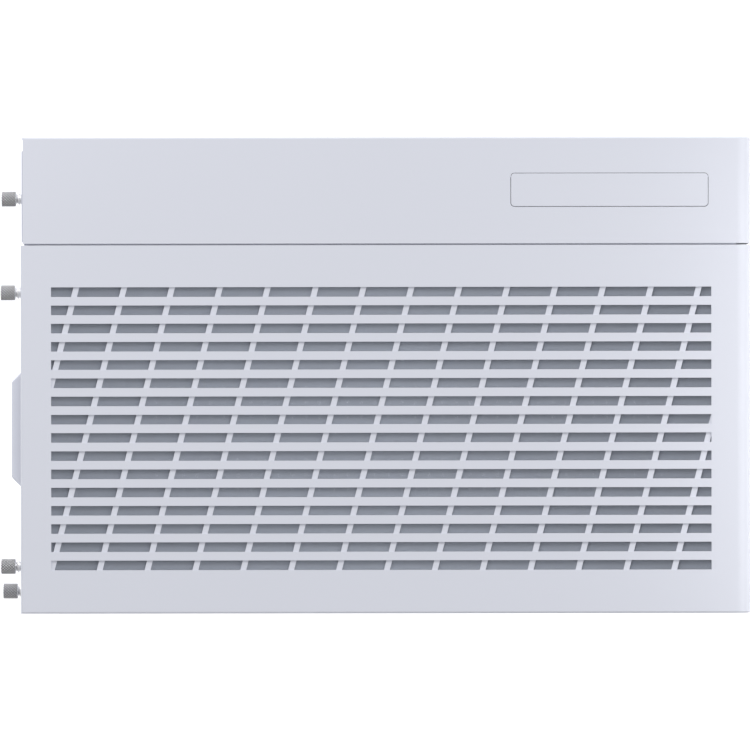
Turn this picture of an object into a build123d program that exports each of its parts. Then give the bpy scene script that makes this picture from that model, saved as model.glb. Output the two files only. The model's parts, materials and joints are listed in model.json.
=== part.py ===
"""A dual-chamber desktop computer case, built as an assembly of separate parts.

Millimetres. +X is the front, +Y the right-hand side (drive chamber), +Z is up.
The origin is on the floor, under the middle of the case with its thumbscrews.
"""

import os
from math import pi

from build123d import *

os.makedirs("parts", exist_ok=True)

# ---------------------------------------------------------------- driving dimensions
DEPTH = 464.0
WIDTH = 303.0
HEIGHT = 476.0
SCREW_REACH = 12.9  # how far a thumbscrew stands out behind the case

REAR = (SCREW_REACH - DEPTH) / 2
FRONT = REAR + DEPTH
MIDDLE_X = (REAR + FRONT) / 2
LEFT = -WIDTH / 2
RIGHT = WIDTH / 2

STEEL = 1.0  # chassis sheet
TRIM_WALL = 2.4  # moulded plastic wall
PANEL_WALL = 1.6  # slotted top panel
GLASS = 4.0
GAP = 0.5  # between neighbouring outer panels

FOOT_HEIGHT = 18.0
BASE_TOP = 44.0  # the plastic base ends and the steel floor lies on it
SKIRT = 14.0  # depth of the top panel's and the bezel's turned-down edges
DECK_TOP = HEIGHT - SKIRT
FLOOR_TOP = BASE_TOP + STEEL
GLASS_BOTTOM = BASE_TOP + 0.8
GLASS_TOP = DECK_TOP - STEEL - 0.3

BEZEL_WIDTH = 67.9  # strip over the drive chamber
SEAM_GAP = 1.0
SEAM_STEP = 0.85
SEAM_DEPTH = 2.4
BEZEL_LEFT = RIGHT - BEZEL_WIDTH
MAIN_RIGHT = BEZEL_LEFT - SEAM_GAP
MAIN_WIDTH = MAIN_RIGHT - LEFT
MAIN_MID = (LEFT + MAIN_RIGHT) / 2
BEZEL_MID = (BEZEL_LEFT + RIGHT) / 2

FRONT_RADIUS = 9.0
EDGE_RADIUS = 1.4

# slanted-rib vent, shared by the top panel and the right-hand panel
SLOT_WIDTH = 6.05
SLOT_PITCH = 11.58
RIB_WIDTH = 3.8
RIB_PITCH = 30.43
RIB_SLOPE = 0.2576  # sideways travel of a rib for each millimetre across the rows
RIB_DROP = 0.9  # the ribs lie this far below the outer face
TOP_VENT_ROWS = 16
TOP_VENT_LENGTH = 419.6
TOP_VENT_REAR_MARGIN = 19.4
TOP_VENT_FIRST_RIB = 15.35
TOP_VENT_Y = MAIN_MID + 0.5

# rear panel and what is screwed to it
REAR_PANEL_X = REAR + 2.0  # outer face
REAR_INNER_X = REAR_PANEL_X + STEEL
REAR_PANEL_LEFT = LEFT + 5.7
REAR_PANEL_RIGHT = RIGHT - 2.7
REAR_PANEL_TOP = HEIGHT - 4.0
FLANGE = 1.2  # thickness of the flanges that lie over the rear panel
FLANGE_X = REAR + 0.6

# thumbscrews: (y, z, x of the face that the ferrule seats on)
SCREW_OFFSET = 87.0  # top panel's screws, each side of the panel's middle
TOP_SCREW_Z = HEIGHT - 8.0
THUMBSCREWS = [
    (112.2, TOP_SCREW_Z, FLANGE_X),
    (MAIN_MID + SCREW_OFFSET, TOP_SCREW_Z, REAR),
    (MAIN_MID - SCREW_OFFSET, TOP_SCREW_Z, REAR),
    (LEFT + 13.9, 440.0, FLANGE_X),
]
SHANK_R = 1.75
SHANK_HOLE_R = SHANK_R + 0.1
NUT_BORE_R = SHANK_R + 0.05
NOTCH_R = SHANK_R + 0.35

# ball studs that hold the side and front panels
SOCKET = 10.0
SOCKET_DEPTH = 9.0
STUD_FOOT = 0.8
STUD_CLEARANCE = 0.4
STUD_Z = (FLOOR_TOP + SOCKET / 2, DECK_TOP - STEEL - SOCKET / 2)
LEFT_STUD_X = (REAR + 30.0, FRONT - 30.0)
FRONT_STUD_Y = (LEFT + 18.0, MAIN_RIGHT - 10.0)
RIGHT_STUD_X = (REAR + 24.0, FRONT - 34.0)

# divider between the two chambers
TRAY_Y = 54.0
TRAY_FRONT = 79.5
BOARD_TOP_Z = 412.0
BOARD_REAR_X = REAR_INNER_X + 2.0
BOARD_HOLES_X = (10.16, 165.10, 237.49)  # from the board's rear edge
BOARD_HOLES_Z = (-16.51, -173.99, -298.45)  # from the board's top edge
STANDOFF = 6.5

# 120 mm fans
FAN = 120.0
FAN_DEPTH = 25.0
FAN_HOLES = 105.0
FAN_HOLE_R = 2.2
FAN_BORE_R = 58.3
FAN_HUB_R = 19.5
FAN_BLADES = 9
SIDE_FAN_X = 150.0
SIDE_FAN_Z = (133.0, 253.0, 373.0)
REAR_FAN_Y = -64.0
REAR_FAN_Z = 338.0

# ports under the lid
LID_LENGTH = 125.2
LID_WIDTH = 21.0
LID_GAP = 0.3
LID_THICKNESS = 2.2
LID_CORNER = 2.3
LID_X = FRONT - 89.6
LID_Y = BEZEL_MID
HINGE_Y = LID_Y + LID_WIDTH / 2 - 2.0
HINGE_Z = HEIGHT - 1.0
HINGE_PIN_R = 0.6
TUB_TOP = HEIGHT - TRIM_WALL
TUB_FLOOR = HEIGHT - 10.5
TUB_WALL = 1.8
IO_BOARD_TOP = 451.5
BOARD_THICKNESS = 1.6
USB_A_X = (-38.0, -18.0)
USB_C_X = 1.0
AUDIO_X = 18.0
RESET_X = 35.0
IO_POST_X = 52.0

# power button in the front of the bezel
POWER_Z = 425.0
POWER_R = 7.8
POWER_RING_R = 9.5


def write(builder, name):
    """Label a finished sub-part and write its STEP file."""
    builder.part.label = name
    export_step(builder.part, f"parts/{name}.step")


def box_between(low, high, mode=Mode.ADD):
    """A block from its lowest corner to its highest corner."""
    size = [b - a for a, b in zip(low, high)]
    middle = [(a + b) / 2 for a, b in zip(low, high)]
    with Locations(tuple(middle)):
        Box(*size, mode=mode)


def along_x(x, y, z):
    """A plane at a point whose normal is +X and whose local axes are Y and Z."""
    return Plane(origin=(x, y, z), x_dir=(0, 1, 0), z_dir=(1, 0, 0))


def backwards(x, y, z):
    """A plane at a point whose normal is -X, for what is screwed in from behind."""
    return Plane(origin=(x, y, z), x_dir=(0, -1, 0), z_dir=(-1, 0, 0))


def along_y(x, y, z):
    """A plane at a point whose normal is +Y, local X is +Z and local Y is +X."""
    return Plane(origin=(x, y, z), x_dir=(0, 0, 1), z_dir=(0, 1, 0))


def slanted_vent(plane, length, rows, wall, first_rib):
    """Cut rows of slots through a wall, then bridge them with slanted ribs.

    The plane lies on the outer face, with its X along the slots. The first rib is
    that far from the low end of the slots in the top row.
    """
    height = (rows - 1) * SLOT_PITCH + SLOT_WIDTH
    lean = RIB_SLOPE * height
    with BuildSketch(plane) as slots:
        with GridLocations(0, SLOT_PITCH, 1, rows):
            Rectangle(length, SLOT_WIDTH)
    extrude(slots.sketch, amount=-wall, mode=Mode.SUBTRACT)
    with BuildSketch(plane.offset(-wall)) as ribs:
        for i in range(int((length + lean) / RIB_PITCH) + 1):
            high = first_rib - length / 2 + i * RIB_PITCH + RIB_SLOPE * SLOT_WIDTH / 2
            low = high - lean
            half = RIB_WIDTH / 2
            Polygon(
                (high - half, height / 2),
                (high + half, height / 2),
                (low + half, -height / 2),
                (low - half, -height / 2),
                align=None,
            )
        Rectangle(length, height, mode=Mode.INTERSECT)
    extrude(ribs.sketch, amount=wall - RIB_DROP)


def rounded_block(low, high, radius):
    """A block whose top front edge is rounded, used for a cover and for its hollow."""
    with BuildPart() as block:
        with BuildSketch(Plane.XZ.offset(-high[1])):
            with Locations(((low[0] + high[0]) / 2, (low[2] + high[2]) / 2)):
                Rectangle(high[0] - low[0], high[2] - low[2])
            fillet(vertices().group_by(Axis.X)[-1].sort_by(Axis.Y)[-1], radius)
        extrude(amount=high[1] - low[1])
    return block.part


def angle_block(low, high, leg, radius):
    """An angle in side view: a top leg and a front leg, rounded where they meet."""
    with BuildPart() as block:
        with BuildSketch(Plane.XZ.offset(-high[1])):
            with BuildLine():
                Polyline(
                    (low[0], high[2] - leg),
                    (low[0], high[2]),
                    (high[0], high[2]),
                    (high[0], low[2]),
                    (high[0] - leg, low[2]),
                    (high[0] - leg, high[2] - leg),
                    close=True,
                )
            make_face()
            fillet(vertices().group_by(Axis.X)[-1].sort_by(Axis.Y)[-1], radius)
        extrude(amount=high[1] - low[1])
    return block.part


def fan_rails(plane_z, wall):
    """Cut the window and the slotted rails for three 120 mm fans in a row."""
    window_width = 90.0
    window_length = 3 * FAN + 12.0
    slot_length = 11.0
    with BuildSketch(Plane.XY.offset(plane_z)) as cuts:
        with Locations((MIDDLE_X, MAIN_MID)):
            RectangleRounded(window_length, window_width, 6.0)
            with GridLocations(FAN, 0, 3, 1):
                with GridLocations(FAN_HOLES, FAN_HOLES, 2, 2):
                    SlotOverall(slot_length, 2 * FAN_HOLE_R)
    extrude(cuts.sketch, amount=-wall, mode=Mode.SUBTRACT)


# ---------------------------------------------------------------- top vent panel
LIP_REACH = 6.1
LIP_LENGTH = 73.0
LIP_THICKNESS = 2.4
vent_height = (TOP_VENT_ROWS - 1) * SLOT_PITCH + SLOT_WIDTH
vent_mid_x = REAR + TOP_VENT_REAR_MARGIN + TOP_VENT_LENGTH / 2

panel_block = rounded_block((REAR, LEFT, DECK_TOP), (FRONT, MAIN_RIGHT, HEIGHT), FRONT_RADIUS)
panel_hollow = rounded_block(
    (REAR + PANEL_WALL, LEFT + PANEL_WALL, DECK_TOP - 1),
    (FRONT - PANEL_WALL, MAIN_RIGHT - PANEL_WALL, HEIGHT - PANEL_WALL),
    FRONT_RADIUS - PANEL_WALL,
)

with BuildPart() as top_vent_panel:
    add(panel_block)
    left_edges = faces().sort_by(Axis.Y)[0].edges()
    rear_top = edges().filter_by(Axis.Y).group_by(Axis.Z)[-1].sort_by(Axis.X)[0]
    fillet(left_edges.sort_by(Axis.Z)[1:].sort_by(Axis.X)[1:] + [rear_top], EDGE_RADIUS)
    add(panel_hollow, mode=Mode.SUBTRACT)
    slanted_vent(
        Plane(origin=(vent_mid_x, TOP_VENT_Y, HEIGHT)),
        TOP_VENT_LENGTH,
        TOP_VENT_ROWS,
        PANEL_WALL,
        TOP_VENT_FIRST_RIB,
    )
    # notches that leave the thumbscrews behind when the panel lifts
    for y, z, _ in THUMBSCREWS[1:3]:
        with BuildSketch(along_x(REAR, y, z)) as notch:
            Circle(NOTCH_R)
            with Locations((0, -SKIRT / 2)):
                Rectangle(2 * NOTCH_R, SKIRT)
        extrude(notch.sketch, amount=PANEL_WALL, mode=Mode.SUBTRACT)
    # finger lip at the foot of the rear skirt
    with BuildSketch(Plane.XY.offset(DECK_TOP)) as lip:
        with BuildLine():
            Polyline(
                (REAR + PANEL_WALL, MAIN_MID - LIP_LENGTH / 2),
                (REAR, MAIN_MID - LIP_LENGTH / 2),
                (REAR - LIP_REACH, MAIN_MID - LIP_LENGTH / 2 + LIP_REACH),
                (REAR - LIP_REACH, MAIN_MID + LIP_LENGTH / 2 - LIP_REACH),
                (REAR, MAIN_MID + LIP_LENGTH / 2),
                (REAR + PANEL_WALL, MAIN_MID + LIP_LENGTH / 2),
                close=True,
            )
        make_face()
        fillet(vertices().group_by(Axis.X)[0], 3.0)
    extrude(lip.sketch, amount=LIP_THICKNESS)
    lip_rim = edges().filter_by(lambda e: e.center().X < REAR - LIP_REACH / 3)
    fillet(lip_rim.filter_by(lambda e: abs(e.center().Z - DECK_TOP - LIP_THICKNESS) < 0.01), 1.1)
write(top_vent_panel, "top_vent_panel")

# ---------------------------------------------------------------- top dust filter
FILTER_FRAME = 6.0
FILTER_THICKNESS = 1.4
top_filter_size = (TOP_VENT_LENGTH + 16.0, vent_height + 16.0)
filter_top = HEIGHT - PANEL_WALL

with BuildPart() as top_filter_frame:
    with BuildSketch(Plane.XY.offset(filter_top - FILTER_THICKNESS)):
        with Locations((vent_mid_x, MAIN_MID)):
            RectangleRounded(*top_filter_size, 3.0)
            Rectangle(
                top_filter_size[0] - 2 * FILTER_FRAME,
                top_filter_size[1] - 2 * FILTER_FRAME,
                mode=Mode.SUBTRACT,
            )
    extrude(amount=FILTER_THICKNESS)
write(top_filter_frame, "top_filter_frame")

MESH = 0.4
with BuildPart() as top_filter_mesh:
    with BuildSketch(Plane.XY.offset(filter_top - FILTER_THICKNESS / 2 - MESH / 2)):
        with Locations((vent_mid_x, MAIN_MID)):
            Rectangle(
                top_filter_size[0] - 2 * FILTER_FRAME, top_filter_size[1] - 2 * FILTER_FRAME
            )
    extrude(amount=MESH)
write(top_filter_mesh, "top_filter_mesh")

# ---------------------------------------------------------------- bezel over the drive chamber
BEZEL_REAR = REAR + 1.5
BEZEL_FLANGE_LEFT = BEZEL_LEFT + 1.0
BEZEL_FLANGE_RIGHT = RIGHT - 8.9
BEZEL_BOTTOM = BASE_TOP + GAP
POWER_POST_Y = 15.0
POWER_BOARD_X = FRONT - 17.6

bezel_block = angle_block(
    (BEZEL_REAR, BEZEL_LEFT, BEZEL_BOTTOM), (FRONT, RIGHT, HEIGHT), SKIRT, FRONT_RADIUS
)
bezel_hollow = angle_block(
    (BEZEL_REAR - 1, BEZEL_LEFT + TRIM_WALL, BEZEL_BOTTOM + TRIM_WALL),
    (FRONT - TRIM_WALL, RIGHT - TRIM_WALL, HEIGHT - TRIM_WALL),
    SKIRT - TRIM_WALL + 1,
    FRONT_RADIUS - TRIM_WALL,
)

with BuildPart() as io_bezel:
    add(bezel_block)
    right_edges = faces().sort_by(Axis.Y)[-1].edges()
    outer_right = right_edges.filter_by(
        lambda e: e.center().Z > HEIGHT - FRONT_RADIUS / 2 or e.center().X > FRONT - 1
    )
    fillet(outer_right, EDGE_RADIUS)
    add(bezel_hollow, mode=Mode.SUBTRACT)
    # rear flange, a little lower and narrower than the strip
    box_between(
        (FLANGE_X, BEZEL_FLANGE_LEFT, DECK_TOP),
        (FLANGE_X + FLANGE, BEZEL_FLANGE_RIGHT, HEIGHT - 2.0),
    )
    # step that nearly closes the seam, so the seam is a shallow groove
    box_between(
        (BEZEL_REAR + 2.0, BEZEL_LEFT - SEAM_STEP, DECK_TOP + 0.2),
        (FRONT - FRONT_RADIUS, BEZEL_LEFT + 0.2, HEIGHT - SEAM_DEPTH),
    )
    with BuildSketch(along_x(FLANGE_X, THUMBSCREWS[0][0], THUMBSCREWS[0][1])) as hole:
        Circle(NOTCH_R)
    extrude(hole.sketch, amount=FLANGE, mode=Mode.SUBTRACT)
    # opening for the lid, with a hinge hole at each end
    with BuildSketch(Plane.XY.offset(HEIGHT)) as opening:
        with Locations((LID_X, LID_Y)):
            RectangleRounded(
                LID_LENGTH + 2 * LID_GAP, LID_WIDTH + 2 * LID_GAP, LID_CORNER + LID_GAP
            )
    extrude(opening.sketch, amount=-TRIM_WALL, mode=Mode.SUBTRACT)
    pin_reach = LID_LENGTH / 2 + 3.2
    with BuildSketch(along_x(LID_X - pin_reach, HINGE_Y, HINGE_Z)) as hinge_hole:
        Circle(HINGE_PIN_R + 0.05)
    extrude(hinge_hole.sketch, amount=2 * pin_reach, mode=Mode.SUBTRACT)
    # opening for the power button
    with BuildSketch(along_x(FRONT, BEZEL_MID, POWER_Z)) as power_hole:
        Circle(POWER_RING_R)
    extrude(power_hole.sketch, amount=-TRIM_WALL, mode=Mode.SUBTRACT)
    # posts that carry the power switch board
    for side in (-1, 1):
        with BuildSketch(along_x(FRONT - TRIM_WALL, BEZEL_MID + side * POWER_POST_Y, POWER_Z)) as post:
            Circle(2.5)
        extrude(post.sketch, amount=POWER_BOARD_X + BOARD_THICKNESS - FRONT + TRIM_WALL)
write(io_bezel, "io_bezel")

# ---------------------------------------------------------------- lid over the ports
with BuildPart() as io_lid:
    with BuildSketch(Plane.XY.offset(HEIGHT - LID_THICKNESS)):
        with Locations((LID_X, LID_Y)):
            RectangleRounded(LID_LENGTH, LID_WIDTH, LID_CORNER)
    extrude(amount=LID_THICKNESS)
    fillet(faces().sort_by(Axis.Z)[-1].edges(), 0.3)
    # finger rib under the free edge
    with BuildSketch(Plane.XY.offset(HEIGHT - LID_THICKNESS)) as rib:
        with Locations((LID_X, LID_Y - LID_WIDTH / 2 + 3.0)):
            Rectangle(LID_LENGTH - 30.0, 1.2)
    extrude(rib.sketch, amount=-1.5)
    with BuildSketch(along_x(LID_X - LID_LENGTH / 2 - 2.6, HINGE_Y, HINGE_Z)) as pins:
        Circle(HINGE_PIN_R)
    extrude(pins.sketch, amount=5.0)
    with BuildSketch(along_x(LID_X + LID_LENGTH / 2 + 2.6, HINGE_Y, HINGE_Z)) as far_pin:
        Circle(HINGE_PIN_R)
    extrude(far_pin.sketch, amount=-5.0)
write(io_lid, "io_lid")

# ---------------------------------------------------------------- port tub and its board
USB_A = (13.2, 5.8)
USB_C = (9.0, 3.3)
AUDIO_R = 3.5
RESET_R = 2.4
PORT_CLEARANCE = 0.15
tub_inner = (LID_LENGTH + 1.4, LID_WIDTH + 1.4)


def port_outlines(grow):
    """Outlines of the ports in the tub's floor, larger by a clearance."""
    with BuildSketch(Plane.XY.offset(TUB_FLOOR)) as outlines:
        for x in USB_A_X:
            with Locations((LID_X + x, LID_Y)):
                Rectangle(USB_A[0] + 2 * grow, USB_A[1] + 2 * grow)
        with Locations((LID_X + USB_C_X, LID_Y)):
            SlotOverall(USB_C[0] + 2 * grow, USB_C[1] + 2 * grow)
        with Locations((LID_X + AUDIO_X, LID_Y)):
            Circle(AUDIO_R + grow)
        with Locations((LID_X + RESET_X, LID_Y)):
            Circle(RESET_R + grow)
    return outlines.sketch


with BuildPart() as io_tub:
    with BuildSketch(Plane.XY.offset(TUB_FLOOR - TUB_WALL)):
        with Locations((LID_X, LID_Y)):
            RectangleRounded(tub_inner[0] + 2 * TUB_WALL, tub_inner[1] + 2 * TUB_WALL, 3.5)
    extrude(amount=TUB_TOP - TUB_FLOOR + TUB_WALL)
    with BuildSketch(Plane.XY.offset(TUB_FLOOR)) as inside:
        with Locations((LID_X, LID_Y)):
            RectangleRounded(*tub_inner, 2.5)
    extrude(inside.sketch, amount=TUB_TOP - TUB_FLOOR, mode=Mode.SUBTRACT)
    extrude(port_outlines(PORT_CLEARANCE), amount=-TUB_WALL, mode=Mode.SUBTRACT)
    for side in (-1, 1):
        with BuildSketch(Plane.XY.offset(IO_BOARD_TOP)) as post:
            with Locations((LID_X + side * IO_POST_X, LID_Y)):
                Circle(2.8)
        extrude(post.sketch, amount=TUB_FLOOR - TUB_WALL - IO_BOARD_TOP)
        # a pin through the board, melted over into a button
        stake_x = LID_X + side * IO_POST_X
        with Locations((stake_x, LID_Y, IO_BOARD_TOP)):
            Cylinder(1.1, BOARD_THICKNESS, align=(Align.CENTER, Align.CENTER, Align.MAX))
        with Locations((stake_x, LID_Y, IO_BOARD_TOP - BOARD_THICKNESS)):
            Cylinder(1.9, 0.8, align=(Align.CENTER, Align.CENTER, Align.MAX))
write(io_tub, "io_tub")

with BuildPart() as io_board:
    with BuildSketch(Plane.XY.offset(IO_BOARD_TOP - BOARD_THICKNESS)):
        with Locations((LID_X, LID_Y)):
            Rectangle(2 * IO_POST_X + 8.0, 20.0)
            with GridLocations(2 * IO_POST_X, 0, 2, 1):
                Circle(1.2, mode=Mode.SUBTRACT)
    extrude(amount=BOARD_THICKNESS)
write(io_board, "io_board")

PORT_PROUD = 0.5
port_height = TUB_FLOOR + PORT_PROUD - IO_BOARD_TOP
with BuildPart() as usb_ports:
    for x in USB_A_X:
        with Locations((LID_X + x, LID_Y, IO_BOARD_TOP)):
            Box(*USB_A, port_height, align=(Align.CENTER, Align.CENTER, Align.MIN))
        with Locations((LID_X + x, LID_Y, IO_BOARD_TOP + port_height)):
            Box(12.5, 5.1, 9.0, align=(Align.CENTER, Align.CENTER, Align.MAX), mode=Mode.SUBTRACT)
        # contact tongue, against the left wall of the shell
        with Locations((LID_X + x, LID_Y - 1.0, IO_BOARD_TOP + port_height - 0.8)):
            Box(11.1, 1.8, 8.2, align=(Align.CENTER, Align.CENTER, Align.MAX))
    with BuildSketch(Plane.XY.offset(IO_BOARD_TOP)) as shell:
        with Locations((LID_X + USB_C_X, LID_Y)):
            SlotOverall(*USB_C)
    extrude(shell.sketch, amount=port_height)
    with BuildSketch(Plane.XY.offset(IO_BOARD_TOP + port_height)) as socket:
        with Locations((LID_X + USB_C_X, LID_Y)):
            SlotOverall(8.4, 2.7)
    extrude(socket.sketch, amount=-7.0, mode=Mode.SUBTRACT)
    with Locations((LID_X + USB_C_X, LID_Y, IO_BOARD_TOP + port_height - 0.9)):
        Box(6.6, 0.7, 6.1, align=(Align.CENTER, Align.CENTER, Align.MAX))
write(usb_ports, "usb_ports")

with BuildPart() as audio_jack:
    with Locations((LID_X + AUDIO_X, LID_Y, IO_BOARD_TOP)):
        Cylinder(AUDIO_R, port_height, align=(Align.CENTER, Align.CENTER, Align.MIN))
    with Locations((LID_X + AUDIO_X, LID_Y, IO_BOARD_TOP + port_height)):
        Cylinder(
            1.8, 12.0, align=(Align.CENTER, Align.CENTER, Align.MAX), mode=Mode.SUBTRACT
        )
write(audio_jack, "audio_jack")

RESET_TRAVEL = 0.8
reset_height = TUB_FLOOR + 1.0 - IO_BOARD_TOP - 4.5
with BuildPart() as reset_button:
    with Locations((LID_X + RESET_X, LID_Y, IO_BOARD_TOP + 4.5)):
        Cylinder(RESET_R, reset_height, align=(Align.CENTER, Align.CENTER, Align.MIN))
        Cylinder(3.4, 1.0, align=(Align.CENTER, Align.CENTER, Align.MIN))
    fillet(faces().sort_by(Axis.Z)[-1].edges(), 0.5)
write(reset_button, "reset_button")

with BuildPart() as reset_switch:
    with Locations((LID_X + RESET_X, LID_Y, IO_BOARD_TOP)):
        Box(6.0, 6.0, 2.6, align=(Align.CENTER, Align.CENTER, Align.MIN))
        Cylinder(1.6, 3.5, align=(Align.CENTER, Align.CENTER, Align.MIN))
write(reset_switch, "reset_switch")

# ---------------------------------------------------------------- power button
POWER_TRAVEL = 1.5
POWER_CAP_DEPTH = 8.0
with BuildPart(backwards(FRONT, BEZEL_MID, POWER_Z)) as power_button:
    Cylinder(POWER_R, POWER_CAP_DEPTH, align=(Align.CENTER, Align.CENTER, Align.MIN))
    fillet(faces().sort_by(Axis.X)[-1].edges(), 0.5)
    with Locations((0, 0, TRIM_WALL + 0.2)):
        Cylinder(POWER_R + 1.0, 1.2, align=(Align.CENTER, Align.CENTER, Align.MIN))
write(power_button, "power_button")

with BuildPart(backwards(FRONT, BEZEL_MID, POWER_Z)) as power_ring:
    Cylinder(POWER_RING_R, TRIM_WALL, align=(Align.CENTER, Align.CENTER, Align.MIN))
    Cylinder(
        POWER_R + 0.2,
        TRIM_WALL,
        align=(Align.CENTER, Align.CENTER, Align.MIN),
        mode=Mode.SUBTRACT,
    )
write(power_ring, "power_ring")

with BuildPart() as power_switch:
    with BuildSketch(along_x(POWER_BOARD_X, BEZEL_MID, POWER_Z)):
        RectangleRounded(38.0, 22.0, 2.0)
    extrude(amount=BOARD_THICKNESS)
    box_between(
        (POWER_BOARD_X + BOARD_THICKNESS, BEZEL_MID - 6, POWER_Z - 6),
        (FRONT - 12.0, BEZEL_MID + 6, POWER_Z + 6),
    )
    with BuildSketch(along_x(FRONT - 12.0, BEZEL_MID, POWER_Z)) as plunger:
        Circle(1.8)
    extrude(plunger.sketch, amount=12.0 - POWER_CAP_DEPTH - POWER_TRAVEL - 0.3)
write(power_switch, "power_switch")

# ---------------------------------------------------------------- thumbscrews and ferrules
FERRULE_FLANGE = (1.2, 2.2)  # from and to, out from the seat
HEAD_START = 3.3
HEAD_R = 5.0
for number, (y, z, seat) in enumerate(THUMBSCREWS, start=1):
    with BuildPart(backwards(seat, y, z)) as thumbscrew:
        with Locations((0, 0, -8.0)):
            Cylinder(SHANK_R, 8.0 + HEAD_START, align=(Align.CENTER, Align.CENTER, Align.MIN))
        with Locations((0, 0, FERRULE_FLANGE[1] + 0.05)):
            Cylinder(
                3.0,
                HEAD_START - FERRULE_FLANGE[1] - 0.05,
                align=(Align.CENTER, Align.CENTER, Align.MIN),
            )
        with Locations((0, 0, HEAD_START)):
            Cylinder(
                HEAD_R, SCREW_REACH - HEAD_START, align=(Align.CENTER, Align.CENTER, Align.MIN)
            )
        chamfer(faces().sort_by(Axis.X)[0].edges(), 0.6)
        with Locations((0, 0, SCREW_REACH)):
            Cylinder(
                2.4,
                1.2,
                align=(Align.CENTER, Align.CENTER, Align.MAX),
                mode=Mode.SUBTRACT,
            )
    write(thumbscrew, f"thumbscrew_{number}")

    with BuildPart(backwards(seat, y, z)) as ferrule:
        with Locations((0, 0, 0.05)):
            Cylinder(3.2, FERRULE_FLANGE[1] - 0.05, align=(Align.CENTER, Align.CENTER, Align.MIN))
        with Locations((0, 0, FERRULE_FLANGE[0])):
            Cylinder(4.2, 1.0, align=(Align.CENTER, Align.CENTER, Align.MIN))
        Cylinder(SHANK_HOLE_R, 5.0, align=(Align.CENTER, Align.CENTER, Align.MIN), mode=Mode.SUBTRACT)
    write(ferrule, f"thumbscrew_ferrule_{number}")

with BuildPart() as clinch_nuts:
    for y, z, _ in THUMBSCREWS:
        with BuildSketch(along_x(REAR_INNER_X, y, z)) as nut:
            RegularPolygon(4.6, 6)
            Circle(NUT_BORE_R, mode=Mode.SUBTRACT)
        extrude(nut.sketch, amount=3.0)
write(clinch_nuts, "clinch_nuts")

# ---------------------------------------------------------------- rear panel
IO_APERTURE = (158.75, 44.45)
IO_APERTURE_BOTTOM = 247.0
IO_APERTURE_RIGHT = TRAY_Y - STANDOFF + 0.6
SLOTS = 7
CARD_PITCH = 20.32
FIRST_CARD_Z = 229.0
CARD_OPENING = (104.0, 13.0)
CARD_RIGHT = 44.0
PSU_Y = (60.0, 146.0)
PSU_Z = (62.0, 212.0)
PSU_APERTURE_MARGIN = 1.2
PSU_BRACKET_Y = (57.0, 148.8)
PSU_BRACKET_Z = (48.0, 226.0)
BRACKET_SCREWS = [(64.0, 54.0), (138.0, 54.0), (64.0, 220.0), (138.0, 220.0)]
GRILLE_HOLE_R = 2.5
GRILLE_PITCH = 6.2
GRILLE_R = 55.0

COVER_RIGHT = 47.0
COVER_LEFT = -66.0
COVER_WIDTH = 19.0
COVER_SHEET = 0.9
TAB_REACH = 11.0
LEDGE_TOP_Z = FIRST_CARD_Z + CARD_PITCH / 2 + 2
LEDGE_BOTTOM_Z = FIRST_CARD_Z - (SLOTS - 0.5) * CARD_PITCH - 2
card_z = [FIRST_CARD_Z - i * CARD_PITCH for i in range(SLOTS)]
tab_screw_x = REAR_INNER_X + 7.0

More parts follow.
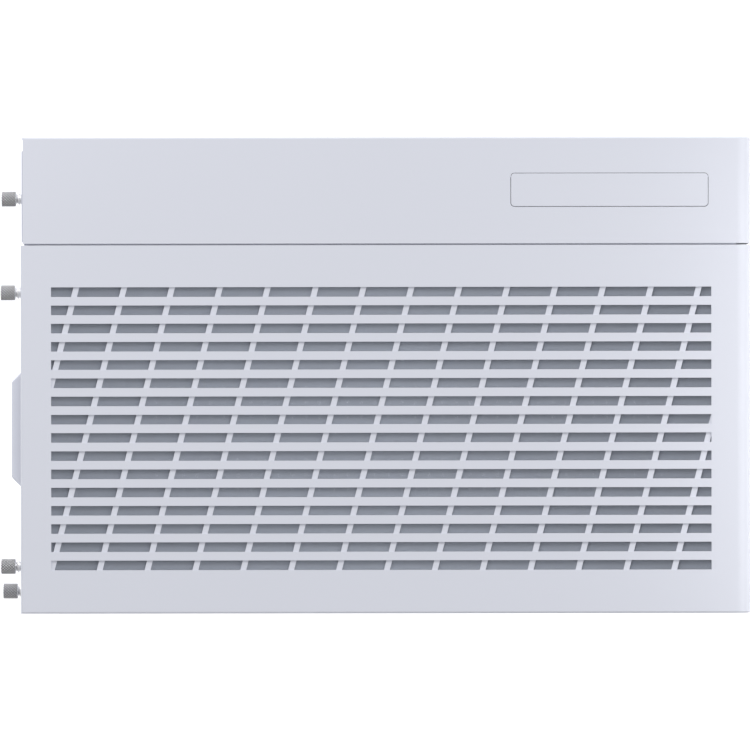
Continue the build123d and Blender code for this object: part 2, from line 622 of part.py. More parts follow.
grille_points = [
    place.position
    for place in HexLocations(GRILLE_PITCH / 2, 19, 21).local_locations
    if place.position.length < GRILLE_R
]
card_mid_y = CARD_RIGHT - CARD_OPENING[0] / 2
card_mid_z = FIRST_CARD_Z - (SLOTS - 1) / 2 * CARD_PITCH
with BuildPart() as rear_panel:
    with BuildSketch(Plane.YZ.offset(REAR_PANEL_X)):
        with Locations(
            ((REAR_PANEL_LEFT + REAR_PANEL_RIGHT) / 2, (FLOOR_TOP + REAR_PANEL_TOP) / 2)
        ):
            Rectangle(REAR_PANEL_RIGHT - REAR_PANEL_LEFT, REAR_PANEL_TOP - FLOOR_TOP)
        with Locations(
            (
                IO_APERTURE_RIGHT - IO_APERTURE[1] / 2,
                IO_APERTURE_BOTTOM + IO_APERTURE[0] / 2,
            )
        ):
            Rectangle(IO_APERTURE[1], IO_APERTURE[0], mode=Mode.SUBTRACT)
        with Locations((card_mid_y, card_mid_z)):
            with GridLocations(0, CARD_PITCH, 1, SLOTS):
                RectangleRounded(*CARD_OPENING, 1.5, mode=Mode.SUBTRACT)
        with Locations((sum(PSU_Y) / 2, sum(PSU_Z) / 2)):
            RectangleRounded(
                PSU_Y[1] - PSU_Y[0] + 2 * PSU_APERTURE_MARGIN,
                PSU_Z[1] - PSU_Z[0] + 2 * PSU_APERTURE_MARGIN,
                3.0,
                mode=Mode.SUBTRACT,
            )
        with Locations(BRACKET_SCREWS):
            Circle(1.7, mode=Mode.SUBTRACT)
        with Locations([(y, z) for y, z, _ in THUMBSCREWS]):
            Circle(SHANK_HOLE_R, mode=Mode.SUBTRACT)
        with Locations((REAR_FAN_Y, REAR_FAN_Z)):
            with GridLocations(FAN_HOLES, FAN_HOLES, 2, 2):
                Circle(FAN_HOLE_R, mode=Mode.SUBTRACT)
            with Locations(grille_points):
                Circle(GRILLE_HOLE_R, mode=Mode.SUBTRACT)
        # the top edge is cut away where two cover walls pass
        with Locations(((MAIN_RIGHT + BEZEL_LEFT) / 2, REAR_PANEL_TOP)):
            Rectangle(6.0, 2 * (REAR_PANEL_TOP - DECK_TOP + 0.3), mode=Mode.SUBTRACT)
    extrude(amount=STEEL)
    # ledge that the slot covers' tabs are screwed to, on a foot at each end
    box_between(
        (REAR_INNER_X + COVER_SHEET + 0.2, COVER_LEFT, LEDGE_BOTTOM_Z),
        (REAR_INNER_X + TAB_REACH + 1.0, COVER_LEFT + 1.2, LEDGE_TOP_Z),
    )
    for low_z in (LEDGE_BOTTOM_Z - 6.0, LEDGE_TOP_Z):
        box_between(
            (REAR_INNER_X, COVER_LEFT, low_z),
            (REAR_INNER_X + TAB_REACH + 1.0, COVER_LEFT + 1.2, low_z + 6.0),
        )
    with BuildSketch(Plane.XZ.offset(-COVER_LEFT)) as ledge_holes:
        with Locations([(tab_screw_x, z) for z in card_z]):
            Circle(1.7)
    extrude(ledge_holes.sketch, amount=-1.2, mode=Mode.SUBTRACT)
write(rear_panel, "rear_panel")

# ---------------------------------------------------------------- expansion slot covers
with BuildPart() as slot_covers:
    for z in card_z:
        box_between(
            (REAR_INNER_X, COVER_LEFT, z - COVER_WIDTH / 2),
            (REAR_INNER_X + COVER_SHEET, COVER_RIGHT, z + COVER_WIDTH / 2),
        )
        box_between(
            (REAR_INNER_X, COVER_LEFT - COVER_SHEET, z - COVER_WIDTH / 2),
            (REAR_INNER_X + TAB_REACH, COVER_LEFT, z + COVER_WIDTH / 2),
        )
        with BuildSketch(Plane.YZ.offset(REAR_INNER_X)) as breather:
            with Locations((card_mid_y, z)):
                with GridLocations(7.0, 0, 12, 1):
                    SlotOverall(8.0, 3.2, rotation=90)
        extrude(breather.sketch, amount=COVER_SHEET, mode=Mode.SUBTRACT)
        with BuildSketch(Plane.XZ.offset(-COVER_LEFT)) as tab_hole:
            with Locations((tab_screw_x, z)):
                Circle(1.9)
        extrude(tab_hole.sketch, amount=COVER_SHEET, mode=Mode.SUBTRACT)
write(slot_covers, "slot_covers")

# ---------------------------------------------------------------- power supply bracket
PSU_HOLES = [(66.0, 68.0), (66.0, 206.0), (130.0, 68.0), (140.0, 182.0)]
with BuildPart() as psu_bracket:
    with BuildSketch(Plane.YZ.offset(REAR_INNER_X)):
        with Locations((sum(PSU_BRACKET_Y) / 2, sum(PSU_BRACKET_Z) / 2)):
            RectangleRounded(
                PSU_BRACKET_Y[1] - PSU_BRACKET_Y[0], PSU_BRACKET_Z[1] - PSU_BRACKET_Z[0], 3.0
            )
        with Locations((103.0, 137.0)):
            RectangleRounded(62.0, 126.0, 4.0, mode=Mode.SUBTRACT)
        with Locations(PSU_HOLES):
            Circle(2.0, mode=Mode.SUBTRACT)
        with Locations(BRACKET_SCREWS):
            Circle(1.7, mode=Mode.SUBTRACT)
    extrude(amount=1.2)
write(psu_bracket, "psu_bracket")

with BuildPart() as case_screws:
    bracket_places = [backwards(REAR_PANEL_X, y, z) for y, z in BRACKET_SCREWS]
    cover_places = [
        Plane(origin=(tab_screw_x, COVER_LEFT - COVER_SHEET, z), x_dir=(1, 0, 0), z_dir=(0, -1, 0))
        for z in card_z
    ]
    with Locations(bracket_places + cover_places):
        Cylinder(3.2, 1.4, align=(Align.CENTER, Align.CENTER, Align.MIN))
        Cylinder(1.6, 5.0, align=(Align.CENTER, Align.CENTER, Align.MAX))
write(case_screws, "case_screws")

# ---------------------------------------------------------------- top deck and floor pan
DECK_NOTCH_X = FRONT - SKIRT - 1.5
with BuildPart() as top_deck:
    box_between((REAR_INNER_X, LEFT + 0.6, DECK_TOP - STEEL), (FRONT - 1.0, MAIN_RIGHT, DECK_TOP))
    box_between(
        (REAR_INNER_X, MAIN_RIGHT, DECK_TOP - STEEL), (DECK_NOTCH_X, RIGHT - 2.6, DECK_TOP)
    )
    fan_rails(DECK_TOP, STEEL)
    with BuildSketch(Plane.XY.offset(DECK_TOP)) as port_window:
        with Locations((LID_X, LID_Y)):
            RectangleRounded(2 * IO_POST_X + 16.0, 25.0, 3.0)
    extrude(port_window.sketch, amount=-STEEL, mode=Mode.SUBTRACT)
write(top_deck, "top_deck")

FLOOR_LEFT = LEFT + 7.0
with BuildPart() as floor_pan:
    box_between((REAR_INNER_X - STEEL, FLOOR_LEFT, BASE_TOP), (FRONT - 5.6, MAIN_RIGHT, FLOOR_TOP))
    box_between(
        (REAR_INNER_X - STEEL, MAIN_RIGHT, BASE_TOP), (DECK_NOTCH_X, RIGHT - 2.3, FLOOR_TOP)
    )
    fan_rails(FLOOR_TOP, STEEL)
write(floor_pan, "floor_pan")

# ---------------------------------------------------------------- motherboard tray
CABLE_SLOT = (72.0, 30.0)
CABLE_SLOT_X = 46.0
CABLE_SLOT_Z = (150.0, 260.0, 370.0)
COOLER_CUTOUT = (150.0, 88.0)
COOLER_X = -95.0
COOLER_Z = 338.0
TOP_CABLE_SLOTS_X = (-150.0, -20.0)
TOP_CABLE_Z = 440.0
LOW_CABLE_SLOTS_X = (-120.0, 0.0)
LOW_CABLE_Z = 76.0
board_holes = [
    (BOARD_REAR_X + x, BOARD_TOP_Z + z) for x in BOARD_HOLES_X for z in BOARD_HOLES_Z
]

with BuildPart() as motherboard_tray:
    with BuildSketch(Plane.XZ.offset(-TRAY_Y)):
        with Locations(((REAR_INNER_X + TRAY_FRONT) / 2, (FLOOR_TOP + DECK_TOP - STEEL) / 2)):
            Rectangle(TRAY_FRONT - REAR_INNER_X, DECK_TOP - STEEL - FLOOR_TOP)
        with Locations([(CABLE_SLOT_X, z) for z in CABLE_SLOT_Z]):
            SlotOverall(*CABLE_SLOT, rotation=90, mode=Mode.SUBTRACT)
        with Locations((COOLER_X, COOLER_Z)):
            RectangleRounded(*COOLER_CUTOUT, 8.0, mode=Mode.SUBTRACT)
        with Locations([(x, TOP_CABLE_Z) for x in TOP_CABLE_SLOTS_X]):
            SlotOverall(60.0, 22.0, mode=Mode.SUBTRACT)
        with Locations([(x, LOW_CABLE_Z) for x in LOW_CABLE_SLOTS_X]):
            SlotOverall(70.0, 24.0, mode=Mode.SUBTRACT)
    extrude(amount=-STEEL)
write(motherboard_tray, "motherboard_tray")

with BuildPart() as standoffs:
    for x, z in board_holes:
        with BuildSketch(Plane.XZ.offset(-TRAY_Y)) as hexagon:
            with Locations((x, z)):
                RegularPolygon(3.2, 6)
        extrude(hexagon.sketch, amount=STANDOFF)
        with BuildSketch(Plane.XZ.offset(-TRAY_Y + STANDOFF)) as thread:
            with Locations((x, z)):
                Circle(1.6)
        extrude(thread.sketch, amount=-5.0, mode=Mode.SUBTRACT)
write(standoffs, "standoffs")

with BuildPart() as cable_grommets:
    for z in CABLE_SLOT_Z:
        with BuildSketch(Plane.XZ.offset(-TRAY_Y + 1.5)) as rim:
            with Locations((CABLE_SLOT_X, z)):
                SlotOverall(CABLE_SLOT[0] + 6.0, CABLE_SLOT[1] + 6.0, rotation=90)
        extrude(rim.sketch, amount=-1.5)
        with BuildSketch(Plane.XZ.offset(-TRAY_Y)) as neck:
            with Locations((CABLE_SLOT_X, z)):
                SlotOverall(CABLE_SLOT[0] - 0.2, CABLE_SLOT[1] - 0.2, rotation=90)
        extrude(neck.sketch, amount=-STEEL)
        with BuildSketch(Plane.XZ.offset(-TRAY_Y + 1.5)) as slit:
            with Locations((CABLE_SLOT_X, z)):
                SlotOverall(CABLE_SLOT[0] - 16.0, 2.0, rotation=90)
                with GridLocations(0, 9.0, 1, 5):
                    Rectangle(CABLE_SLOT[1] - 12.0, 0.8)
        extrude(slit.sketch, amount=-1.5 - STEEL, mode=Mode.SUBTRACT)
write(cable_grommets, "cable_grommets")

# ---------------------------------------------------------------- fans
HUB_WALL = 2.0
SHAFT_R = 1.5
STRUT_WIDTH = 7.0
MOTOR_BASE = 3.0

with BuildPart() as fan_frame:
    with BuildSketch():
        RectangleRounded(FAN - 0.2, FAN - 0.2, 6.0)
        Circle(FAN_BORE_R, mode=Mode.SUBTRACT)
        with GridLocations(FAN_HOLES, FAN_HOLES, 2, 2):
            Circle(FAN_HOLE_R, mode=Mode.SUBTRACT)
    extrude(amount=FAN_DEPTH)
    # relief between the corner flanges
    with BuildSketch(Plane.XY.offset(4.0)) as relief:
        Rectangle(FAN + 2, FAN + 2)
        Circle(FAN_BORE_R + 1.7, mode=Mode.SUBTRACT)
        with GridLocations(FAN_HOLES, FAN_HOLES, 2, 2):
            Circle(4.6, mode=Mode.SUBTRACT)
        Rectangle(FAN + 4, 76.0, mode=Mode.SUBTRACT)
        Rectangle(76.0, FAN + 4, mode=Mode.SUBTRACT)
    extrude(relief.sketch, amount=FAN_DEPTH - 8.0, mode=Mode.SUBTRACT)
    with BuildSketch() as motor_mount:
        Circle(FAN_HUB_R)
        for angle in (45, 135, 225, 315):
            with PolarLocations((FAN_HUB_R + FAN_BORE_R) / 2, 1, start_angle=angle):
                Rectangle(FAN_BORE_R - FAN_HUB_R + 3.0, STRUT_WIDTH)
    extrude(motor_mount.sketch, amount=MOTOR_BASE)
    Cylinder(4.0, 14.0, align=(Align.CENTER, Align.CENTER, Align.MIN))
    with Locations((0, 0, MOTOR_BASE)):
        Cylinder(
            SHAFT_R + 0.05, 12.0, align=(Align.CENTER, Align.CENTER, Align.MIN), mode=Mode.SUBTRACT
        )

with BuildPart() as fan_blade:
    with BuildSketch(Plane(origin=(17.5, 0, 12.5), x_dir=(0, 1, 0), z_dir=(1, 0, 0))):
        Rectangle(19.0, 1.6, rotation=42.0)
    with BuildSketch(Plane(origin=(59.0, 0, 12.5), x_dir=(0, 1, 0), z_dir=(1, 0, 0))):
        with Locations((-6.0, 0)):
            Rectangle(34.0, 1.2, rotation=26.0)
    loft()

with BuildPart() as fan_rotor:
    with PolarLocations(0, FAN_BLADES):
        add(fan_blade.part)
    Cylinder(FAN_BORE_R - 1.0, 60.0, mode=Mode.INTERSECT)
    with Locations((0, 0, MOTOR_BASE + 0.8)):
        Cylinder(FAN_HUB_R, 17.5, align=(Align.CENTER, Align.CENTER, Align.MIN))
        Cylinder(
            FAN_HUB_R - HUB_WALL,
            15.5,
            align=(Align.CENTER, Align.CENTER, Align.MIN),
            mode=Mode.SUBTRACT,
        )
    fillet(faces().sort_by(Axis.Z)[-1].edges(), 1.5)
    with Locations((0, 0, MOTOR_BASE + 0.8 + 16.0)):
        Cylinder(SHAFT_R, 14.0, align=(Align.CENTER, Align.CENTER, Align.MAX))


side_fan_places = [
    Plane(origin=(SIDE_FAN_X, TRAY_Y, z), x_dir=(1, 0, 0), z_dir=(0, -1, 0)).location
    for z in SIDE_FAN_Z
]
rear_fan_place = Plane(
    origin=(REAR_INNER_X, REAR_FAN_Y, REAR_FAN_Z), x_dir=(0, 1, 0), z_dir=(1, 0, 0)
).location

with BuildPart() as fan_frames:
    for place in side_fan_places + [rear_fan_place]:
        add(place * fan_frame.part)
write(fan_frames, "fan_frames")

for number, place in enumerate(side_fan_places, start=1):
    with BuildPart() as side_fan_rotor:
        add(place * fan_rotor.part)
    write(side_fan_rotor, f"side_fan_rotor_{number}")

with BuildPart() as rear_fan_rotor:
    add(rear_fan_place * fan_rotor.part)
write(rear_fan_rotor, "rear_fan_rotor")

with BuildPart() as side_fan_bracket:
    with BuildSketch(Plane.XZ.offset(-TRAY_Y)):
        with Locations((SIDE_FAN_X, (FLOOR_TOP + DECK_TOP - STEEL) / 2)):
            Rectangle(2 * (SIDE_FAN_X - TRAY_FRONT) - 1.0, DECK_TOP - STEEL - FLOOR_TOP)
        for z in SIDE_FAN_Z:
            with Locations((SIDE_FAN_X, z)):
                Circle(FAN_BORE_R - 1.0, mode=Mode.SUBTRACT)
                with GridLocations(FAN_HOLES, FAN_HOLES, 2, 2):
                    Circle(FAN_HOLE_R, mode=Mode.SUBTRACT)
    extrude(amount=-STEEL)
write(side_fan_bracket, "side_fan_bracket")

with BuildPart() as fan_screws:
    corners = [(a * FAN_HOLES / 2, b * FAN_HOLES / 2) for a in (-1, 1) for b in (-1, 1)]
    for z in SIDE_FAN_Z:
        for dx, dz in corners:
            with Locations(Location((SIDE_FAN_X + dx, TRAY_Y + STEEL, z + dz), (-90, 0, 0))):
                Cylinder(3.8, 1.6, align=(Align.CENTER, Align.CENTER, Align.MIN))
                Cylinder(FAN_HOLE_R - 0.1, 8.0, align=(Align.CENTER, Align.CENTER, Align.MAX))
    for dy, dz in corners:
        with Locations(backwards(REAR_PANEL_X, REAR_FAN_Y + dy, REAR_FAN_Z + dz)):
            Cylinder(3.8, 1.6, align=(Align.CENTER, Align.CENTER, Align.MIN))
            Cylinder(FAN_HOLE_R - 0.1, 8.0, align=(Align.CENTER, Align.CENTER, Align.MAX))
write(fan_screws, "fan_screws")

# ---------------------------------------------------------------- glass panels
FRAME_WIDTH = 16.0
FRAME_SHEET = 1.2
LEFT_FRAME_Y = LEFT + GLASS
FRONT_GLASS_LEFT = LEFT + GLASS + GAP
FRONT_FRAME_X = FRONT - GLASS
glass_mid_z = (GLASS_BOTTOM + GLASS_TOP) / 2
glass_height = GLASS_TOP - GLASS_BOTTOM

with BuildPart() as left_glass:
    box_between((FLANGE_X, LEFT, GLASS_BOTTOM), (FRONT, LEFT + GLASS, GLASS_TOP))
    chamfer(faces().sort_by(Axis.Y)[0].edges(), 0.6)
write(left_glass, "left_glass")

left_frame_front = FRONT - 8.0
with BuildPart() as left_glass_frame:
    with BuildSketch(Plane.XZ.offset(-LEFT_FRAME_Y)):
        with Locations(((FLANGE_X + left_frame_front) / 2, glass_mid_z)):
            Rectangle(left_frame_front - FLANGE_X, glass_height - 1.0)
            RectangleRounded(
                left_frame_front - FLANGE_X - 2 * FRAME_WIDTH,
                glass_height - 1.0 - 2 * FRAME_WIDTH,
                4.0,
                mode=Mode.SUBTRACT,
            )
    extrude(amount=-FRAME_SHEET)
    # rear flange, notched so that it slides off sideways past its thumbscrew
    screw_y, screw_z, _ = THUMBSCREWS[3]
    box_between(
        (FLANGE_X, LEFT_FRAME_Y, screw_z - 14), (FLANGE_X + FLANGE, screw_y + 8.0, screw_z + 14)
    )
    with BuildSketch(along_x(FLANGE_X, screw_y, screw_z)) as side_notch:
        Circle(NOTCH_R)
        with Locations((6.0, 0)):
            Rectangle(12.0, 2 * NOTCH_R)
    extrude(side_notch.sketch, amount=FLANGE, mode=Mode.SUBTRACT)
write(left_glass_frame, "left_glass_frame")

with BuildPart() as front_glass:
    box_between((FRONT - GLASS, FRONT_GLASS_LEFT, GLASS_BOTTOM), (FRONT, MAIN_RIGHT, GLASS_TOP))
    chamfer(faces().sort_by(Axis.X)[-1].edges(), 0.6)
write(front_glass, "front_glass")

front_frame_left = FRONT_GLASS_LEFT + 2.0
front_frame_right = MAIN_RIGHT - 1.0
with BuildPart() as front_glass_frame:
    with BuildSketch(Plane.YZ.offset(FRONT_FRAME_X)):
        with Locations(((front_frame_left + front_frame_right) / 2, glass_mid_z)):
            Rectangle(front_frame_right - front_frame_left, glass_height - 1.0)
            RectangleRounded(
                front_frame_right - front_frame_left - 2 * FRAME_WIDTH,
                glass_height - 1.0 - 2 * FRAME_WIDTH,
                4.0,
                mode=Mode.SUBTRACT,
            )
    extrude(amount=-FRAME_SHEET)
write(front_glass_frame, "front_glass_frame")

# ---------------------------------------------------------------- right-hand panel
RIGHT_PANEL_FRONT = FRONT - SKIRT - 0.6
RIGHT_PANEL_TOP = DECK_TOP - 0.6
HEM = 10.0
HEM_SHEET = 0.8
SIDE_VENT_X = 145.0
SIDE_VENT_LENGTH = 124.0
SIDE_VENT_ROWS = 31
SIDE_VENT_Z = 253.0
PSU_VENT_X = -136.0
PSU_VENT_LENGTH = 140.0
PSU_VENT_ROWS = 11
PSU_VENT_Z = 137.0
panel_mid = ((FLANGE_X + RIGHT_PANEL_FRONT) / 2, (GLASS_BOTTOM + RIGHT_PANEL_TOP) / 2)
panel_size = (RIGHT_PANEL_FRONT - FLANGE_X, RIGHT_PANEL_TOP - GLASS_BOTTOM)


def right_face(x, z):
    """A plane on the right-hand panel's outer face, its X towards the rear."""
    return Plane(origin=(x, RIGHT, z), x_dir=(-1, 0, 0), z_dir=(0, 1, 0))


with BuildPart() as right_panel:
    with BuildSketch(Plane.XZ.offset(-RIGHT)):
        with Locations(panel_mid):
            Rectangle(*panel_size)
    extrude(amount=STEEL)
    with BuildSketch(Plane.XZ.offset(-RIGHT + STEEL)) as hem:
        with Locations(panel_mid):
            Rectangle(*panel_size)
            Rectangle(panel_size[0] - 2 * HEM, panel_size[1] - 2 * HEM, mode=Mode.SUBTRACT)
    extrude(hem.sketch, amount=HEM_SHEET)
    chamfer(faces().sort_by(Axis.Y)[-1].edges(), 0.4)
    slanted_vent(
        right_face(SIDE_VENT_X, SIDE_VENT_Z), SIDE_VENT_LENGTH, SIDE_VENT_ROWS, STEEL, RIB_PITCH / 2
    )
    slanted_vent(
        right_face(PSU_VENT_X, PSU_VENT_Z), PSU_VENT_LENGTH, PSU_VENT_ROWS, STEEL, RIB_PITCH / 2
    )
write(right_panel, "right_panel")

with BuildPart() as side_filter:
    for x, z, length, rows in (
        (SIDE_VENT_X, SIDE_VENT_Z, SIDE_VENT_LENGTH, SIDE_VENT_ROWS),
        (PSU_VENT_X, PSU_VENT_Z, PSU_VENT_LENGTH, PSU_VENT_ROWS),
    ):
        outer = (length + 12.0, (rows - 1) * SLOT_PITCH + SLOT_WIDTH + 12.0)
        with BuildSketch(Plane.XZ.offset(-RIGHT + STEEL)) as ring:
            with Locations((x, z)):
                RectangleRounded(*outer, 3.0)
                Rectangle(outer[0] - 9.0, outer[1] - 9.0, mode=Mode.SUBTRACT)
        extrude(ring.sketch, amount=FILTER_THICKNESS)
        with BuildSketch(Plane.XZ.offset(-RIGHT + STEEL + 0.5)) as screen:
            with Locations((x, z)):
                Rectangle(outer[0] - 9.0, outer[1] - 9.0)
        extrude(screen.sketch, amount=MESH)
write(side_filter, "side_filter")

SIDE_FRAME_Y = RIGHT - 5.0
side_frame_front = DECK_NOTCH_X - 0.5
with BuildPart() as side_frame:
    with BuildSketch(Plane.XZ.offset(-SIDE_FRAME_Y)):
        with Locations(
            ((REAR_INNER_X + 2.0 + side_frame_front) / 2, (FLOOR_TOP + DECK_TOP - STEEL) / 2)
        ):
            Rectangle(side_frame_front - REAR_INNER_X - 2.0, DECK_TOP - STEEL - FLOOR_TOP)
            RectangleRounded(
                side_frame_front - REAR_INNER_X - 2.0 - 2 * 14.0,
                DECK_TOP - STEEL - FLOOR_TOP - 2 * 14.0,
                6.0,
                mode=Mode.SUBTRACT,
            )
        # square holes that the panel's sockets clip into
        with Locations([(x, z) for x in RIGHT_STUD_X for z in STUD_Z]):
            Rectangle(SOCKET, SOCKET, mode=Mode.SUBTRACT)
    extrude(amount=STEEL)
write(side_frame, "side_frame")

# ---------------------------------------------------------------- ball studs and sockets

def stud(plane):
    """A ball stud standing on a plane: a foot, a neck and a ball."""
    with BuildPart() as pin:
        Cylinder(4.0, STUD_FOOT, align=(Align.CENTER, Align.CENTER, Align.MIN))
        Cylinder(1.5, 5.5, align=(Align.CENTER, Align.CENTER, Align.MIN))
        with Locations((0, 0, 5.5)):
            Sphere(2.4)
    return plane.location * pin.part


def socket_block(plane):
    """A moulded socket that a ball stud snaps into, its mouth on the plane."""
    with BuildPart() as block:
        Box(SOCKET, SOCKET, SOCKET_DEPTH, align=(Align.CENTER, Align.CENTER, Align.MIN))
        Cylinder(
            2.8, SOCKET_DEPTH - 1.5, align=(Align.CENTER, Align.CENTER, Align.MIN), mode=Mode.SUBTRACT
        )
        fillet(edges().filter_by(Axis.Z), 1.5)
    return plane.location * block.part


left_stud_y = LEFT_FRAME_Y + FRAME_SHEET
front_stud_x = FRONT_FRAME_X - FRAME_SHEET
right_stud_y = RIGHT - STEEL - HEM_SHEET
left_stud_planes = [along_y(x, left_stud_y, z) for x in LEFT_STUD_X for z in STUD_Z]
front_stud_planes = [backwards(front_stud_x, y, z) for y in FRONT_STUD_Y for z in STUD_Z]
right_stud_planes = [
    Plane(origin=(x, right_stud_y, z), x_dir=(0, 0, 1), z_dir=(0, -1, 0))
    for x in RIGHT_STUD_X
    for z in STUD_Z
]

for label, planes in (
    ("left_glass_studs", left_stud_planes),
    ("front_glass_studs", front_stud_planes),
    ("right_panel_studs", right_stud_planes),
):
    with BuildPart() as studs:
        for plane in planes:
            add(stud(plane))
    write(studs, label)

with BuildPart() as stud_sockets:
    for plane in left_stud_planes + front_stud_planes + right_stud_planes:
        add(socket_block(plane.offset(STUD_FOOT + STUD_CLEARANCE)))
write(stud_sockets, "stud_sockets")

# ---------------------------------------------------------------- drives and small fittings
CAGE_X = (-160.0, -4.0)
CAGE_Y = (62.0, 128.0)
CAGE_Z = (238.0, 350.0)
TRAY_SIZE = (150.0, 29.0, 109.0)
TRAY_X = -158.0
TRAY_START_Y = (64.0, 95.5)
TRAY_BOTTOM = CAGE_Z[0] + STEEL
DRIVE_WALL = 2.0

with BuildPart() as drive_cage:
    box_between(
        (CAGE_X[0], CAGE_Y[0], CAGE_Z[0]), (CAGE_X[1], CAGE_Y[1], CAGE_Z[1])
    )
    box_between(
        (CAGE_X[0] - 1, CAGE_Y[0] + STEEL, CAGE_Z[0] + STEEL),
        (CAGE_X[1] + 1, CAGE_Y[1] - STEEL, CAGE_Z[1] - STEEL),
        mode=Mode.SUBTRACT,
    )
    with BuildSketch(Plane.XZ.offset(-CAGE_Y[1])) as cage_window:
        with Locations((sum(CAGE_X) / 2, sum(CAGE_Z) / 2)):
            with GridLocations(46.0, 0, 3, 1):
                SlotOverall(84.0, 34.0, rotation=90)
    extrude(cage_window.sketch, amount=STEEL + 1, mode=Mode.SUBTRACT)
    for x in (CAGE_X[0] + 12, CAGE_X[1] - 12):
        for z in (CAGE_Z[0] + 8, CAGE_Z[0] + 46):
            with BuildSketch(Plane.XZ.offset(-CAGE_Y[0])) as foot:
                with Locations((x, z)):
                    Circle(4.0)
            extrude(foot.sketch, amount=CAGE_Y[0] - TRAY_Y - STEEL)
write(drive_cage, "drive_cage")

for number, start_y in enumerate(TRAY_START_Y, start=1):
    low = (TRAY_X, start_y, TRAY_BOTTOM)
    high = (TRAY_X + TRAY_SIZE[0], start_y + TRAY_SIZE[1], TRAY_BOTTOM + TRAY_SIZE[2])
    with BuildPart() as drive_tray:
        box_between(low, high)
        box_between(
            (low[0] - 1, low[1] + DRIVE_WALL, low[2] + DRIVE_WALL),
            (high[0] - DRIVE_WALL, high[1] + 1, high[2] - DRIVE_WALL),
            mode=Mode.SUBTRACT,
        )
        with BuildSketch(Plane.XZ.offset(-low[1])) as window:
            with Locations(((low[0] + high[0]) / 2, (low[2] + high[2]) / 2)):
                RectangleRounded(106.0, 66.0, 6.0)
        extrude(window.sketch, amount=-DRIVE_WALL, mode=Mode.SUBTRACT)
        # pull tab at the front end
        box_between(
            (high[0], low[1] + 8.0, (low[2] + high[2]) / 2 - 16.0),
            (high[0] + 10.0, low[1] + 10.4, (low[2] + high[2]) / 2 + 16.0),
        )
    write(drive_tray, f"drive_tray_{number}")

SSD_X = (-146.0, -40.0)
SSD_SIZE = (100.0, 34.0)
SSD_Z = 408.0
with BuildPart() as ssd_brackets:
    for x in SSD_X:
        with BuildSketch(Plane.XZ.offset(-TRAY_Y - STEEL - 7.0)) as plate:
            with Locations((x, SSD_Z)):
                RectangleRounded(*SSD_SIZE, 4.0)
                with GridLocations(76.6, 0, 2, 1):
                    Circle(1.8, mode=Mode.SUBTRACT)
                RectangleRounded(50.0, 16.0, 3.0, mode=Mode.SUBTRACT)
        extrude(plate.sketch, amount=-STEEL)
        for side in (-1, 1):
            with BuildSketch(Plane.XZ.offset(-TRAY_Y - STEEL)) as leg:
                with Locations((x + side * 46.0, SSD_Z)):
                    Rectangle(6.0, 20.0)
            extrude(leg.sketch, amount=-7.0)
write(ssd_brackets, "ssd_brackets")

HUB_X = (-30.0, 26.0)
HUB_Z = (112.0, 150.0)
with BuildPart() as fan_hub:
    box_between((HUB_X[0], TRAY_Y + STEEL, HUB_Z[0]), (HUB_X[1], TRAY_Y + STEEL + 11.0, HUB_Z[1]))
    fillet(edges().filter_by(Axis.Y), 3.0)
    with BuildSketch(Plane.XZ.offset(-TRAY_Y - STEEL - 11.0)) as headers:
        with Locations((sum(HUB_X) / 2, sum(HUB_Z) / 2)):
            with GridLocations(12.0, 18.0, 4, 2):
                Rectangle(9.0, 6.0)
    extrude(headers.sketch, amount=4.0, mode=Mode.SUBTRACT)
write(fan_hub, "fan_hub")

# ---------------------------------------------------------------- base, feet and bottom filter
BASE_WALL = 2.4
BASE_MARGIN = 16.0
BASE_FLOOR = 2.4
BOTTOM_FILTER_Y = MAIN_MID
BOTTOM_FILTER_WIDTH = 132.0
BOTTOM_FILTER_LENGTH = 404.0
BOTTOM_FILTER_Z = (25.5, 29.0)
GRIP = (150.0, 11.0)
RAIL_WIDTH = 8.0
base_front_inner = FRONT - BASE_WALL
filter_mid_z = sum(BOTTOM_FILTER_Z) / 2

